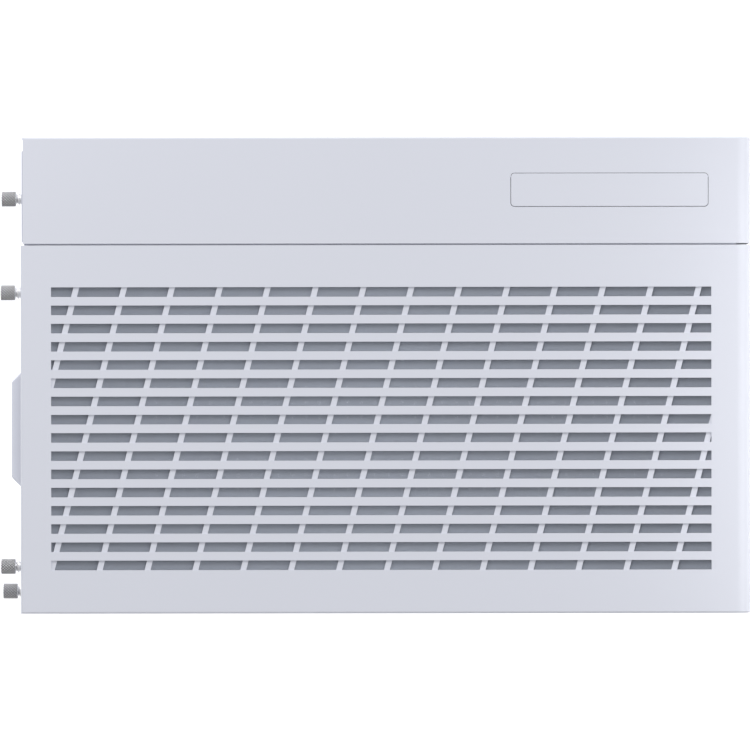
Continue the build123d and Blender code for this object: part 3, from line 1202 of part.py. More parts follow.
with BuildPart() as base_frame:
    with BuildSketch(Plane.XY.offset(FOOT_HEIGHT)):
        with Locations(((FLANGE_X + FRONT) / 2, 0)):
            Rectangle(FRONT - FLANGE_X, WIDTH)
        fillet(vertices(), EDGE_RADIUS)
    extrude(amount=BASE_TOP - FOOT_HEIGHT)
    chamfer(faces().sort_by(Axis.Z)[0].edges(), 1.0)
    with BuildSketch(Plane.XY.offset(FOOT_HEIGHT + BASE_FLOOR)) as well:
        with Locations(((FLANGE_X + FRONT) / 2, 0)):
            Rectangle(FRONT - FLANGE_X - 2 * BASE_WALL, WIDTH - 2 * BASE_WALL)
    extrude(well.sketch, amount=BASE_TOP, mode=Mode.SUBTRACT)
    with BuildSketch(Plane.XY.offset(FOOT_HEIGHT)) as air_window:
        with Locations((base_front_inner - BOTTOM_FILTER_LENGTH / 2, BOTTOM_FILTER_Y)):
            RectangleRounded(
                BOTTOM_FILTER_LENGTH - 2 * BASE_MARGIN, BOTTOM_FILTER_WIDTH - 16.0, 8.0
            )
    extrude(air_window.sketch, amount=BASE_FLOOR, mode=Mode.SUBTRACT)
    with BuildSketch(along_x(FRONT, BOTTOM_FILTER_Y, filter_mid_z)) as grip_slot:
        RectangleRounded(GRIP[0] + 1.0, GRIP[1] + 1.0, 2.5)
    extrude(grip_slot.sketch, amount=-BASE_WALL, mode=Mode.SUBTRACT)
    # grooved rails for the dust filter
    for side in (-1, 1):
        outer_y = BOTTOM_FILTER_Y + side * (BOTTOM_FILTER_WIDTH / 2 + 2.5)
        inner_y = outer_y - side * RAIL_WIDTH
        low_y, high_y = sorted((outer_y, inner_y))
        box_between(
            (REAR + 24.0, low_y, FOOT_HEIGHT + BASE_FLOOR), (base_front_inner - 2.0, high_y, 33.0)
        )
        groove = sorted((outer_y - side * 2.0, inner_y - side * 1.0))
        box_between(
            (REAR + 27.0, groove[0], BOTTOM_FILTER_Z[0]),
            (base_front_inner, groove[1], BOTTOM_FILTER_Z[1] + 0.4),
            mode=Mode.SUBTRACT,
        )
write(base_frame, "base_frame")

with BuildPart() as bottom_filter_frame:
    with BuildSketch(Plane.XY.offset(BOTTOM_FILTER_Z[0])):
        with Locations((base_front_inner - BOTTOM_FILTER_LENGTH / 2, BOTTOM_FILTER_Y)):
            Rectangle(BOTTOM_FILTER_LENGTH, BOTTOM_FILTER_WIDTH)
            with GridLocations(BOTTOM_FILTER_LENGTH / 3 - 2.0, 0, 3, 1):
                Rectangle(
                    BOTTOM_FILTER_LENGTH / 3 - 10.0, BOTTOM_FILTER_WIDTH - 18.0, mode=Mode.SUBTRACT
                )
    extrude(amount=BOTTOM_FILTER_Z[1] - BOTTOM_FILTER_Z[0])
    with BuildSketch(along_x(base_front_inner, BOTTOM_FILTER_Y, filter_mid_z)) as grip:
        RectangleRounded(*GRIP, 2.0)
    extrude(grip.sketch, amount=BASE_WALL)
    chamfer(faces().sort_by(Axis.X)[-1].edges(), 0.5)
    # finger scoop in the grip
    with BuildSketch(along_x(FRONT, BOTTOM_FILTER_Y, filter_mid_z - 3.0)) as scoop:
        RectangleRounded(50.0, 4.0, 1.5)
    extrude(scoop.sketch, amount=-1.4, mode=Mode.SUBTRACT)
write(bottom_filter_frame, "bottom_filter_frame")

with BuildPart() as bottom_filter_mesh:
    with BuildSketch(Plane.XY.offset(filter_mid_z - MESH / 2)):
        with Locations((base_front_inner - BOTTOM_FILTER_LENGTH / 2, BOTTOM_FILTER_Y)):
            with GridLocations(BOTTOM_FILTER_LENGTH / 3 - 2.0, 0, 3, 1):
                Rectangle(BOTTOM_FILTER_LENGTH / 3 - 10.0, BOTTOM_FILTER_WIDTH - 18.0)
    extrude(amount=MESH)
write(bottom_filter_mesh, "bottom_filter_mesh")

FOOT_INSET = (40.0, 30.0)
FOOT_TOP_SIZE = (52.0, 34.0)
PAD_HEIGHT = 4.0
foot_places = GridLocations(DEPTH - 2 * FOOT_INSET[0], WIDTH - 2 * FOOT_INSET[1], 2, 2)
foot_points = [
    (MIDDLE_X + p.position.X, p.position.Y) for p in foot_places.local_locations
]
with BuildPart() as feet:
    for x, y in foot_points:
        with BuildSketch(Plane.XY.offset(FOOT_HEIGHT)) as top_outline:
            with Locations((x, y)):
                RectangleRounded(*FOOT_TOP_SIZE, 8.0)
        extrude(top_outline.sketch, amount=PAD_HEIGHT - FOOT_HEIGHT, taper=12)
write(feet, "feet")

with BuildPart() as foot_pads:
    for x, y in foot_points:
        with BuildSketch() as pad:
            with Locations((x, y)):
                RectangleRounded(40.0, 22.0, 5.0)
        extrude(pad.sketch, amount=PAD_HEIGHT)
write(foot_pads, "foot_pads")
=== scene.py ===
"""Looks for a white dual-chamber computer case.

It holds the finishes, the woven filters, the knurled screws, the fans and the stage.
"""

import json

import bpy
import numpy as np
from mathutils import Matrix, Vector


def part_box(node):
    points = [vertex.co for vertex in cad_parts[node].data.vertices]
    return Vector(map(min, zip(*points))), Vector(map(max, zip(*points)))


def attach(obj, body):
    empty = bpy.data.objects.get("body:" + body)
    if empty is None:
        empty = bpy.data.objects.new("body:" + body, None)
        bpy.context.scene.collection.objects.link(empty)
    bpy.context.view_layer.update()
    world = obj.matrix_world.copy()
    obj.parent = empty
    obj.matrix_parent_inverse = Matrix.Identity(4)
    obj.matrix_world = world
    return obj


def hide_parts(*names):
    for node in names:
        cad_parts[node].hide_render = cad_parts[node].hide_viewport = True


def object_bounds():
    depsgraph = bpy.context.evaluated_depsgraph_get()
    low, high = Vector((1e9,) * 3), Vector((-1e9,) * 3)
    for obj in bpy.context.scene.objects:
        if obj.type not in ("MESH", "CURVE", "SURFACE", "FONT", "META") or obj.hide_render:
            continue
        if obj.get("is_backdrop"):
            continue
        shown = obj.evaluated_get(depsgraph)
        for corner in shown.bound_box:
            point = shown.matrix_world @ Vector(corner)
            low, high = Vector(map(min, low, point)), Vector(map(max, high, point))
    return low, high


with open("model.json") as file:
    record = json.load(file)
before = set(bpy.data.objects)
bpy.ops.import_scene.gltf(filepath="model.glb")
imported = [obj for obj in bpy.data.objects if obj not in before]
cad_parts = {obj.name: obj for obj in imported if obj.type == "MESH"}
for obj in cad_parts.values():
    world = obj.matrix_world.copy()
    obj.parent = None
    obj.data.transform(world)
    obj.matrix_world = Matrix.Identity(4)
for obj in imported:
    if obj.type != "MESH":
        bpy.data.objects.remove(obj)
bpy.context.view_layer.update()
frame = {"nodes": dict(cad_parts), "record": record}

bl_info = {
    "name": "Dual-Chamber Computer Case",
    "version": (1, 0, 0),
    "blender": (4, 5, 0),
    "location": "3D View > Sidebar > Case",
    "description": "Finishes, woven filters, knurled screws and fans of a white computer case",
    "category": "Object",
}

MM = 0.001
# sides of a smooth turned shape
TURNED_SIDES = 72
# edges of solids: the gap that is closed, and the angles in degrees of a flat and a sharp one
JOIN_GAP = 1e-6
FLAT_ANGLE = 0.5
SHARP_ANGLE = 35.0
# thumbscrew, outwards from its seat: the shank's two ends, the head's two ends, and their radii
SCREW_TIP, SHANK_END, HEAD_START, HEAD_END = -8.0 * MM, 2.2 * MM, 3.3 * MM, 12.9 * MM
SHANK_RADIUS, HEAD_RADIUS = 1.75 * MM, 5.0 * MM
THREAD_DEPTH = 0.28 * MM
# the zigzags are scaled up before they are cut off at 1, which leaves flat crests
CREST_GAIN = 1.35
# painted shade in the knurl: the tone of the valleys, the knurl height at which the tone
# starts to rise, and how much higher it stops
VALLEY_SHADE, SHADE_START, SHADE_SPAN = 0.06, 0.12, 0.6
# fan rotor, in millimetres: half its height, the gap between its near end and the frame's back,
# and the radii at which a blade starts and ends
ROTOR_HALF, ROTOR_GAP = 8.75, 3.8
BLADE_ROOT, BLADE_TIP = 18.6, 56.6
SLOT_OF_NODE = {part["node"]: part["material_slot"] for part in frame["record"]["subparts"]}


# ------------------------------------------------------------------ settings


def length(name, description, default):
    """A length setting in metres."""
    return bpy.props.FloatProperty(
        name=name,
        description=description,
        default=default,
        min=0.0,
        max=10.0,
        precision=5,
        unit="LENGTH",
        subtype="DISTANCE",
    )


def share(name, description, default, high=1.0):
    """A plain factor."""
    return bpy.props.FloatProperty(
        name=name, description=description, default=default, min=0.0, max=high, subtype="FACTOR"
    )


def tint(name, description, default):
    """A scene-linear colour setting."""
    return bpy.props.FloatVectorProperty(
        name=name,
        description=description,
        default=default,
        size=3,
        min=0.0,
        max=1.0,
        subtype="COLOR",
    )


def watts(name, description, default):
    """The power of a light, in watts."""
    return bpy.props.FloatProperty(
        name=name, description=description, default=default, unit="POWER"
    )


class CaseSizes(bpy.types.PropertyGroup):
    """Sizes of the detail that is finer than the solids."""

    edge_round: length("Edge Rounding", "Radius of the soft edge on sheet metal", 0.00027)
    wire_pitch: length("Wire Pitch", "Distance between neighbouring filter wires", 0.0005)
    wire_gauge: length("Wire Gauge", "Diameter of one filter wire", 0.00047)
    knurl_depth: length("Knurl Depth", "Depth of the grooves in a thumbscrew head", 0.00045)
    knurl_pitch: length("Knurl Pitch", "Length of one knurl diamond along the head", 0.0019)
    knurl_count: bpy.props.IntProperty(
        name="Knurl Count", description="Knurl diamonds around a head", default=17, min=8, max=60
    )
    thread_pitch: length("Thread Pitch", "Travel of a thumbscrew in one turn", 0.000794)
    blade_count: bpy.props.IntProperty(
        name="Blades", description="Blades on each fan rotor", default=9, min=3, max=15
    )
    blade_thickness: length("Blade Thickness", "Thickest part of a fan blade", 0.0016)


class CaseColours(bpy.types.PropertyGroup):
    """Colours of the finishes."""

    paint: tint("Paint", "Powder coat on the steel panels", (0.672, 0.690, 0.765))
    moulding: tint("Moulding", "Painted plastic mouldings", (0.672, 0.690, 0.765))
    mesh: tint("Filter Mesh", "Woven dust filters", (0.37, 0.40, 0.465))
    filter_edge: tint("Filter Edge", "Frames of the dust filters", (0.20, 0.21, 0.235))
    black: tint("Black Plastic", "Fan frames and inner mouldings", (0.018, 0.018, 0.020))
    blade: tint("Fan Blade", "Fan rotors", (0.030, 0.031, 0.034))
    rubber: tint("Rubber", "Grommets and foot pads", (0.060, 0.061, 0.065))
    glass: tint("Glass", "Side and front glass", (0.90, 0.95, 0.94))
    nickel: tint("Nickel", "Plated screws and studs", (0.46, 0.46, 0.49))
    brass: tint("Brass", "Board standoffs", (0.70, 0.48, 0.18))
    board: tint("Circuit Board", "Solder mask of the small boards", (0.010, 0.060, 0.030))


class CaseStage(bpy.types.PropertyGroup):
    """Camera, lights and floor."""

    camera_height: length("Camera Height", "Height of the camera over the top panel", 8.0)
    view_width: length("View Width", "Width of the view at the top panel", 0.4766)
    camera_shift: bpy.props.FloatProperty(
        name="Camera Shift",
        description="How far forward the camera stands",
        default=-0.0003,
        unit="LENGTH",
    )
    camera_drop: length("Camera Drop", "How far to the left side the camera stands", 0.0)
    camera_roll: bpy.props.FloatProperty(
        name="Camera Roll",
        description="Turn of the camera about its view",
        default=-0.0013,
        unit="ROTATION",
    )
    sky: share("Sky", "Strength of the even light from all round", 0.66, 5.0)
    sky_lean: share("Sky Lean", "How much brighter the right side of the room is", 0.5)
    key_power: watts("Key Power", "Power of the large light on the right", 36.0)
    end_power: watts("End Power", "Power of each light past the ends", 2.0)
    wash_power: watts("Wash Power", "Power of each weak light near the top", 0.10)
    floor: tint("Floor", "Colour of the floor", (0.9, 0.9, 0.9))
    floor_glow: share("Floor Glow", "Light that the floor gives off by itself", 0.62, 5.0)


# ------------------------------------------------------------------ meshes


def new_piece(name, points, faces, body, material, tone=None):
    """Put points and faces into a new mesh whose object rides on a body.

    A tone gives each point painted shade, a share of the finish's lightness, which the shader
    reads.
    """
    mesh = bpy.data.meshes.new(name)
    mesh.from_pydata(np.asarray(points).reshape(-1, 3), [], np.asarray(faces).tolist())
    mesh.polygons.foreach_set("use_smooth", np.full(len(mesh.polygons), True))
    mesh.materials.append(material)
    if tone is not None:
        # the tone attribute carries painted shade, such as the dark grooves of the knurled heads
        mesh.attributes.new("tone", "FLOAT", "POINT").data.foreach_set("value", np.ravel(tone))
    mesh.update()
    piece = bpy.data.objects.new(name, mesh)
    bpy.context.scene.collection.objects.link(piece)
    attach(piece, body)
    return piece


def grid_faces(rows, columns, closed_rows=False, closed_columns=False):
    """Quads of a grid of points numbered row by row.

    Face (i, j) joins points (i, j), (i, j+1), (i+1, j+1) and (i+1, j); a closed
    direction joins its last row or column to its first.
    """
    i = np.arange(rows if closed_rows else rows - 1)[:, None]
    j = np.arange(columns if closed_columns else columns - 1)[None, :]
    i_next, j_next = (i + 1) % rows, (j + 1) % columns
    here, beyond = i * columns, i_next * columns
    return np.stack([here + j, here + j_next, beyond + j_next, beyond + j], axis=-1).reshape(-1, 4)


def copies(points, faces, places):
    """Repeat one surface at several places.

    Each place is a 3 by 4 matrix; a copy's points are the matrix times the points,
    and its faces are the same faces counted on from the copy before.
    """
    points = np.asarray(points).reshape(-1, 3)
    places = np.asarray(places)
    moved = np.einsum("kij,nj->kni", places[:, :, :3], points) + places[:, None, :, 3]
    steps = np.arange(len(places))[:, None, None] * len(points)
    return moved.reshape(-1, 3), (faces[None] + steps).reshape(-1, faces.shape[1])


def join(shapes):
    """Several shapes as one: the points one after another, the faces counted on."""
    starts = np.cumsum([0] + [len(points) for points, _ in shapes[:-1]])
    points = np.concatenate([np.reshape(points, (-1, 3)) for points, _ in shapes])
    return points, np.concatenate([faces + start for (_, faces), start in zip(shapes, starts)])


def node_points(node):
    """The corner points of a solid, as an array."""
    mesh = frame["nodes"][node].data
    points = np.empty(len(mesh.vertices) * 3)
    mesh.vertices.foreach_get("co", points)
    return points.reshape(-1, 3)


def about_axis(profile, centre, axis, across, sides, ripple=None):
    """A turned surface: a profile carried round an axis.

    The profile holds (distance along the axis, radius). A point is the centre, plus
    the distance times the axis, plus the radius times (cos a times one cross
    direction + sin a times the other). A ripple, of the same shape as the grid, is
    added to the radius. Points of zero radius are the poles that close the shape.
    """
    axis, across = np.asarray(axis, float), np.asarray(across, float)
    other = np.cross(axis, across)
    angle = np.linspace(0, 2 * np.pi, sides, endpoint=False)[None, :, None]
    along, radius = profile[:, 0][:, None, None], profile[:, 1][:, None, None]
    if ripple is not None:
        radius = radius + ripple[:, :, None]
    spread = np.cos(angle) * across + np.sin(angle) * other
    return np.asarray(centre, float) + along * axis + radius * spread


def round_profile(corners, radii, steps=4):
    """A profile of straight runs with rounded corners.

    Each corner is replaced by points of a quadratic curve that starts and ends one
    radius along its two runs: (1-t)^2 times the start, plus 2t(1-t) times the
    corner, plus t^2 times the end.
    """
    corners = np.asarray(corners, float)
    t = np.linspace(0, 1, steps)[:, None]
    points = [corners[:1]]
    for before, corner, after, radius in zip(corners, corners[1:], corners[2:], radii):
        if radius == 0:
            points.append(corner[None])
            continue
        start = corner + (before - corner) / np.linalg.norm(before - corner) * radius
        end = corner + (after - corner) / np.linalg.norm(after - corner) * radius
        points.append((1 - t) ** 2 * start + 2 * t * (1 - t) * corner + t**2 * end)
    points.append(corners[-1:])
    return np.concatenate(points)


def zigzag(phase):
    """A wave that climbs from 0 to 1 and back in each whole phase."""
    return 1 - np.abs(2 * (phase % 1.0) - 1)


def soften(node, width):
    """Join a solid's loose triangles, round or part its sharp edges and keep its flats flat."""
    thing = frame["nodes"][node]
    mesh = thing.data
    mesh.polygons.foreach_set("use_smooth", np.full(len(mesh.polygons), True))
    weld = thing.modifiers.new("join", "WELD")
    weld.merge_threshold = JOIN_GAP
    if width > 0:
        flats = thing.modifiers.new("whole flats", "DECIMATE")
        flats.decimate_type = "DISSOLVE"
        flats.angle_limit = np.radians(FLAT_ANGLE)
        bevel = thing.modifiers.new("soft edges", "BEVEL")
        bevel.limit_method = "ANGLE"
        bevel.angle_limit = np.radians(SHARP_ANGLE)
        bevel.width = width
        bevel.segments = 2
        bevel.use_clamp_overlap = True
    else:
        split = thing.modifiers.new("sharp edges", "EDGE_SPLIT")
        split.split_angle = np.radians(SHARP_ANGLE)
    level = thing.modifiers.new("level flats", "WEIGHTED_NORMAL")
    level.mode = "FACE_AREA"
    level.weight = 100


# ------------------------------------------------------------------ shader node groups


def new_group(name, inputs, outputs):
    """A shader node group with named sockets: the group, its input node and its output node."""
    tree = bpy.data.node_groups.new(name, "ShaderNodeTree")
    for label, kind, default in inputs:
        socket = tree.interface.new_socket(label, in_out="INPUT", socket_type=f"NodeSocket{kind}")
        socket.default_value = default
    for label, kind in outputs:
        tree.interface.new_socket(label, in_out="OUTPUT", socket_type=f"NodeSocket{kind}")
    return tree, tree.nodes.new("NodeGroupInput"), tree.nodes.new("NodeGroupOutput")


def feed(tree, socket, value):
    """Set a socket to a number, or link it to another socket."""
    if isinstance(value, (int, float)):
        socket.default_value = value
    else:
        tree.links.new(value, socket)


def math_node(tree, operation, *values):
    """A Math node whose inputs are sockets or numbers."""
    node = tree.nodes.new("ShaderNodeMath")
    node.operation = operation
    for socket, value in zip(node.inputs, values):
        feed(tree, socket, value)
    return node.outputs[0]


def noise_node(tree, vector, scale, detail):
    """A noise pattern of a scale given as a socket or a number."""
    node = tree.nodes.new("ShaderNodeTexNoise")
    node.inputs["Detail"].default_value = detail
    tree.links.new(vector, node.inputs["Vector"])
    feed(tree, node.inputs["Scale"], scale)
    return node.outputs["Fac"]


def multiply(tree, colour, factor):
    """One colour times another, channel by channel."""
    mix = tree.nodes.new("ShaderNodeMix")
    mix.data_type, mix.blend_type = "RGBA", "MULTIPLY"
    mix.inputs["Factor"].default_value = 1.0
    tree.links.new(colour, mix.inputs["A"])
    tree.links.new(factor, mix.inputs["B"])
    return mix.outputs["Result"]


def shade(tree, colour, factor, dark):
    """The colour times a factor that runs from dark to 1."""
    ramp = tree.nodes.new("ShaderNodeMapRange")
    tree.links.new(factor, ramp.inputs["Value"])
    tree.links.new(dark, ramp.inputs["To Min"])
    grey = tree.nodes.new("ShaderNodeCombineColor")
    for socket in grey.inputs[:3]:
        tree.links.new(ramp.outputs[0], socket)
    return multiply(tree, colour, grey.outputs[0])


def link_results(tree, given, out, stains, grain, depth):
    """Link a group's results: the stained colour, the spread roughness and the bump.

    The roughness is the given one plus its spread times (grain - 0.5).
    """
    tone = given.outputs["Darkest Tone"]
    colour = shade(tree, given.outputs["Colour"], stains, tone)
    tree.links.new(colour, out.inputs["Colour"])
    centred = math_node(tree, "SUBTRACT", grain, 0.5)
    spread = math_node(tree, "MULTIPLY", centred, given.outputs["Roughness Spread"])
    rough = math_node(tree, "ADD", given.outputs["Roughness"], spread)
    tree.links.new(rough, out.inputs["Roughness"])
    bump = tree.nodes.new("ShaderNodeBump")
    feed(tree, bump.inputs["Distance"], depth)
    tree.links.new(grain, bump.inputs["Height"])
    tree.links.new(bump.outputs[0], out.inputs["Normal"])


def surface_grain_group():
    """Fine grain and broad tone, for powder coat, mouldings and rubber."""
    tree, given, out = new_group(
        "surface grain",
        [
            ("Colour", "Color", (0.8, 0.8, 0.8, 1.0)),
            ("Darkest Tone", "Float", 0.97),
            ("Roughness", "Float", 0.5),
            ("Roughness Spread", "Float", 0.08),
            ("Grain Scale", "Float", 900.0),
            ("Grain Depth", "Float", 0.00001),
        ],
        [("Colour", "Color"), ("Roughness", "Float"), ("Normal", "Vector")],
    )
    place = tree.nodes.new("ShaderNodeTexCoord").outputs["Object"]
    fine = noise_node(tree, place, given.outputs["Grain Scale"], 3.0)
    broad = noise_node(tree, place, 9.0, 2.0)
    link_results(tree, given, out, broad, fine, given.outputs["Grain Depth"])
    return tree


def drawn_metal_group():
    """Streaks and stains of plated or drawn metal."""
    tree, given, out = new_group(
        "drawn metal",
        [
            ("Colour", "Color", (0.6, 0.6, 0.6, 1.0)),
            ("Darkest Tone", "Float", 0.85),
            ("Roughness", "Float", 0.3),
            ("Roughness Spread", "Float", 0.2),
            ("Streak Scale", "Float", 400.0),
        ],
        [("Colour", "Color"), ("Roughness", "Float"), ("Normal", "Vector")],
    )
    place = tree.nodes.new("ShaderNodeTexCoord").outputs["Object"]
    stretch = tree.nodes.new("ShaderNodeMapping")
    stretch.inputs["Scale"].default_value = (0.15, 1.0, 1.0)
    tree.links.new(place, stretch.inputs["Vector"])
    streaks = noise_node(tree, stretch.outputs[0], given.outputs["Streak Scale"], 3.0)
    stains = noise_node(tree, place, 160.0, 2.0)
    link_results(tree, given, out, stains, streaks, 0.006 * MM)
    return tree


# ------------------------------------------------------------------ materials


def new_material(name, group, values, **shader):
    """A material: a Principled shader whose varying inputs come from a shared group."""
    material = bpy.data.materials.new(name)
    material.use_nodes = True
    tree = material.node_tree
    principled = tree.nodes["Principled BSDF"]
    maker = tree.nodes.new("ShaderNodeGroup")
    maker.node_tree = group
    for label, value in values.items():
        maker.inputs[label].default_value = (*value, 1.0) if label == "Colour" else value
    tree.links.new(maker.outputs["Colour"], principled.inputs["Base Color"])
    tree.links.new(maker.outputs["Roughness"], principled.inputs["Roughness"])
    tree.links.new(maker.outputs["Normal"], principled.inputs["Normal"])
    for label, value in shader.items():
        label = label.replace("_", " ").title().replace("Ior", "IOR")
        principled.inputs[label].default_value = value
    return material


def with_painted_shade(material):
    """Multiply a material's colour by the tone that its piece carries, which is painted shade."""
    tree = material.node_tree
    socket = tree.nodes["Principled BSDF"].inputs["Base Color"]
    colour = socket.links[0].from_socket
    tone = tree.nodes.new("ShaderNodeAttribute")
    tone.attribute_name = "tone"
    tree.links.new(multiply(tree, colour, tone.outputs["Color"]), socket)
    return material


def make_materials(colours):
    """Every finish of the case, keyed by the record's slot or by a piece's own finish."""
    grain, metal = surface_grain_group(), drawn_metal_group()

    def grained(name, colour, tone, rough, spread, scale, depth, **shader):
        values = {
            "Colour": colour,
            "Darkest Tone": tone,
            "Roughness": rough,
            "Roughness Spread": spread,
            "Grain Scale": scale,
            "Grain Depth": depth,
        }
        return new_material(name, grain, values, **shader)

    def plated(name, colour, tone, rough, spread, scale, **shader):
        values = {
            "Colour": colour,
            "Darkest Tone": tone,
            "Roughness": rough,
            "Roughness Spread": spread,
            "Streak Scale": scale,
        }
        return new_material(name, metal, values, metallic=1.0, **shader)

    glass_values = (colours.glass, 0.97, 0.02, 0.02, 60.0, 0.0000005)
    ring_values = ((0.75, 0.85, 0.9), 0.94, 0.25, 0.06, 700.0, 0.000004)
    moulding_values = (colours.moulding, 0.985, 0.46, 0.06, 1500.0, 0.000010)
    frame_values = (colours.filter_edge, 0.95, 0.5, 0.1, 1500.0, 0.00001)
    glass = grained("tempered glass", *glass_values, transmission_weight=1.0, ior=1.5)
    ring = grained("light ring", *ring_values, ior=1.49, subsurface_weight=0.3)
    return {
        "white_steel": grained("powder coat", colours.paint, 0.985, 0.42, 0.06, 1100.0, 0.000008),
        "white_plastic": grained("painted moulding", *moulding_values),
        "black_plastic": grained("black moulding", colours.black, 0.9, 0.55, 0.12, 1800.0, 0.00002),
        "fan_plastic": grained("fan blade", colours.blade, 0.92, 0.38, 0.08, 1200.0, 0.000006),
        "grey_plastic": grained("filter frame", *frame_values),
        "grey_mesh": grained("filter wire", colours.mesh, 0.9, 0.6, 0.1, 2500.0, 0.00001),
        "grey_rubber": grained("rubber", colours.rubber, 0.88, 0.75, 0.15, 1300.0, 0.00003),
        "nickel": plated("nickel plate", colours.nickel, 0.88, 0.28, 0.15, 900.0),
        # the knurled heads' light colour is darkened by painted shade in their grooves
        "knurled": with_painted_shade(plated("knurled nickel", (0.86, 0.86, 0.88), 0.9, 0.30, 0.1, 900.0)),
        "bright": plated("bright nickel", (0.93, 0.93, 0.94), 0.96, 0.38, 0.1, 900.0),
        "zinc_steel": plated("zinc plate", (0.5, 0.51, 0.53), 0.8, 0.42, 0.2, 500.0),
        "black_steel": plated("black oxide", (0.03, 0.03, 0.032), 0.8, 0.4, 0.15, 700.0),
        "brass": plated("brass", colours.brass, 0.85, 0.3, 0.15, 600.0),
        "port_metal": plated("port shell", (0.62, 0.63, 0.65), 0.9, 0.3, 0.12, 600.0),
        "green_board": grained("solder mask", colours.board, 0.7, 0.3, 0.05, 500.0, 0.00001),
        "light_ring": ring,
        "clear_glass": glass,
    }


MATERIALS = {}
# the solids whose edges are rounded
ROUNDED = {
    "top_vent_panel",
    "io_bezel",
    "io_lid",
    "right_panel",
    "base_frame",
    "rear_panel",
    "slot_covers",
    "psu_bracket",
    "feet",
    "foot_pads",
    "power_button",
    "power_ring",
    "case_screws",
    "bottom_filter_frame",
}


# ------------------------------------------------------------------ operators


class CASE_OT_finish_solids(bpy.types.Operator):
    """Give every solid its finish, and round the edges that are seen"""

    bl_idname = "case.finish_solids"
    bl_label = "Finish Solids"

    def execute(self, context):
        sizes, colours = context.scene.case_sizes, context.scene.case_colours
        MATERIALS.update(make_materials(colours))
        for name, thing in frame["nodes"].items():
            thing.data.materials.clear()
            thing.data.materials.append(MATERIALS[SLOT_OF_NODE[name]])
            soften(name, sizes.edge_round if name in ROUNDED else 0.0)
        return {"FINISHED"}


def wire_cloth(low, high, thin_axis, pitch, gauge):
    """Points and faces of a filter cloth: two crossing layers of straight wires.

    Along each of the cloth's two long directions, the space is split into equal
    steps no wider than the pitch, and wire k runs down the middle of step k from the
    low edge to the high edge. Its six corner points lie on a circle of the wire's
    radius. The second layer lies one diameter behind the first.
    """
    low, high = np.asarray(low, float), np.asarray(high, float)
    flat = [axis for axis in range(3) if axis != thin_axis]
    angle = np.arange(6) * np.pi / 3 + np.pi / 6
    ends = np.array([[0, 1, 2, 3], [0, 3, 4, 5], [9, 8, 7, 6], [11, 10, 9, 6]])
    layers = []
    for layer, (run, step) in enumerate((flat, flat[::-1])):
        count = int(np.ceil((high[step] - low[step]) / pitch))
        middle = low[step] + (np.arange(count) + 0.5) * (high[step] - low[step]) / count
        wires = np.zeros((count, 2, 6, 3))
        wires[:, 0, :, run], wires[:, 1, :, run] = low[run], high[run]
        wires[..., step] = middle[:, None, None] + gauge / 2 * np.cos(angle)
        depth = (low[thin_axis] + high[thin_axis]) / 2 + (0.5 - layer) * gauge * 0.96
        wires[..., thin_axis] = depth + gauge / 2 * np.sin(angle)
        one = np.concatenate([grid_faces(2, 6, closed_columns=True), ends])
        # a left-handed order of the three directions turns the wire inside out
        if np.linalg.det(np.eye(3)[[run, step, thin_axis]]) > 0:
            one = one[:, ::-1]
        faces = (one[None] + (np.arange(count) * 12)[:, None, None]).reshape(-1, 4)
        layers.append((wires.reshape(-1, 3), faces))
    return join(layers)


def ring_frame(low, high, thin_axis, band):
    """Points and faces of a flat rectangular frame with round corners.

    The path is a rectangle with quarter-circle corners, half the band inside the
    outer edge. At each path point the profile is a flat octagon: its points lie
    across the band along the path's outward direction and through the thickness.
    """
    low, high = np.asarray(low, float), np.asarray(high, float)
    first, second = [axis for axis in range(3) if axis != thin_axis]
    radius = band / 2 + 1.5 * MM
    quarter = np.linspace(0, np.pi / 2, 7)
    angle = np.concatenate([quarter + turn * np.pi / 2 for turn in range(4)])
    side = np.repeat([[1, 1], [-1, 1], [-1, -1], [1, -1]], 7, axis=0)
    half = (high - low)[[first, second]] / 2 - band / 2 - radius
    outward = np.stack([np.cos(angle), np.sin(angle)], axis=-1)
    path = side * half + radius * outward
    across, rise = band / 2, (high - low)[thin_axis] / 2
    chamfer = 0.25 * MM
    profile = np.array(
        [
            (across, rise - chamfer),
            (across - chamfer, rise),
            (chamfer - across, rise),
            (-across, rise - chamfer),
            (-across, chamfer - rise),
            (chamfer - across, -rise),
            (across - chamfer, -rise),
            (across, chamfer - rise),
        ]
    )
    plane = path[:, None] + profile[None, :, :1] * outward[:, None]
    points = np.zeros((len(path), 8, 3))
    points[..., first], points[..., second] = plane[..., 0], plane[..., 1]
    points[..., thin_axis] = profile[None, :, 1]
    faces = grid_faces(len(path), 8, closed_rows=True, closed_columns=True)
    if np.linalg.det(np.eye(3)[[first, second, thin_axis]]) < 0:
        faces = faces[:, ::-1]
    return points.reshape(-1, 3) + (low + high) / 2, faces


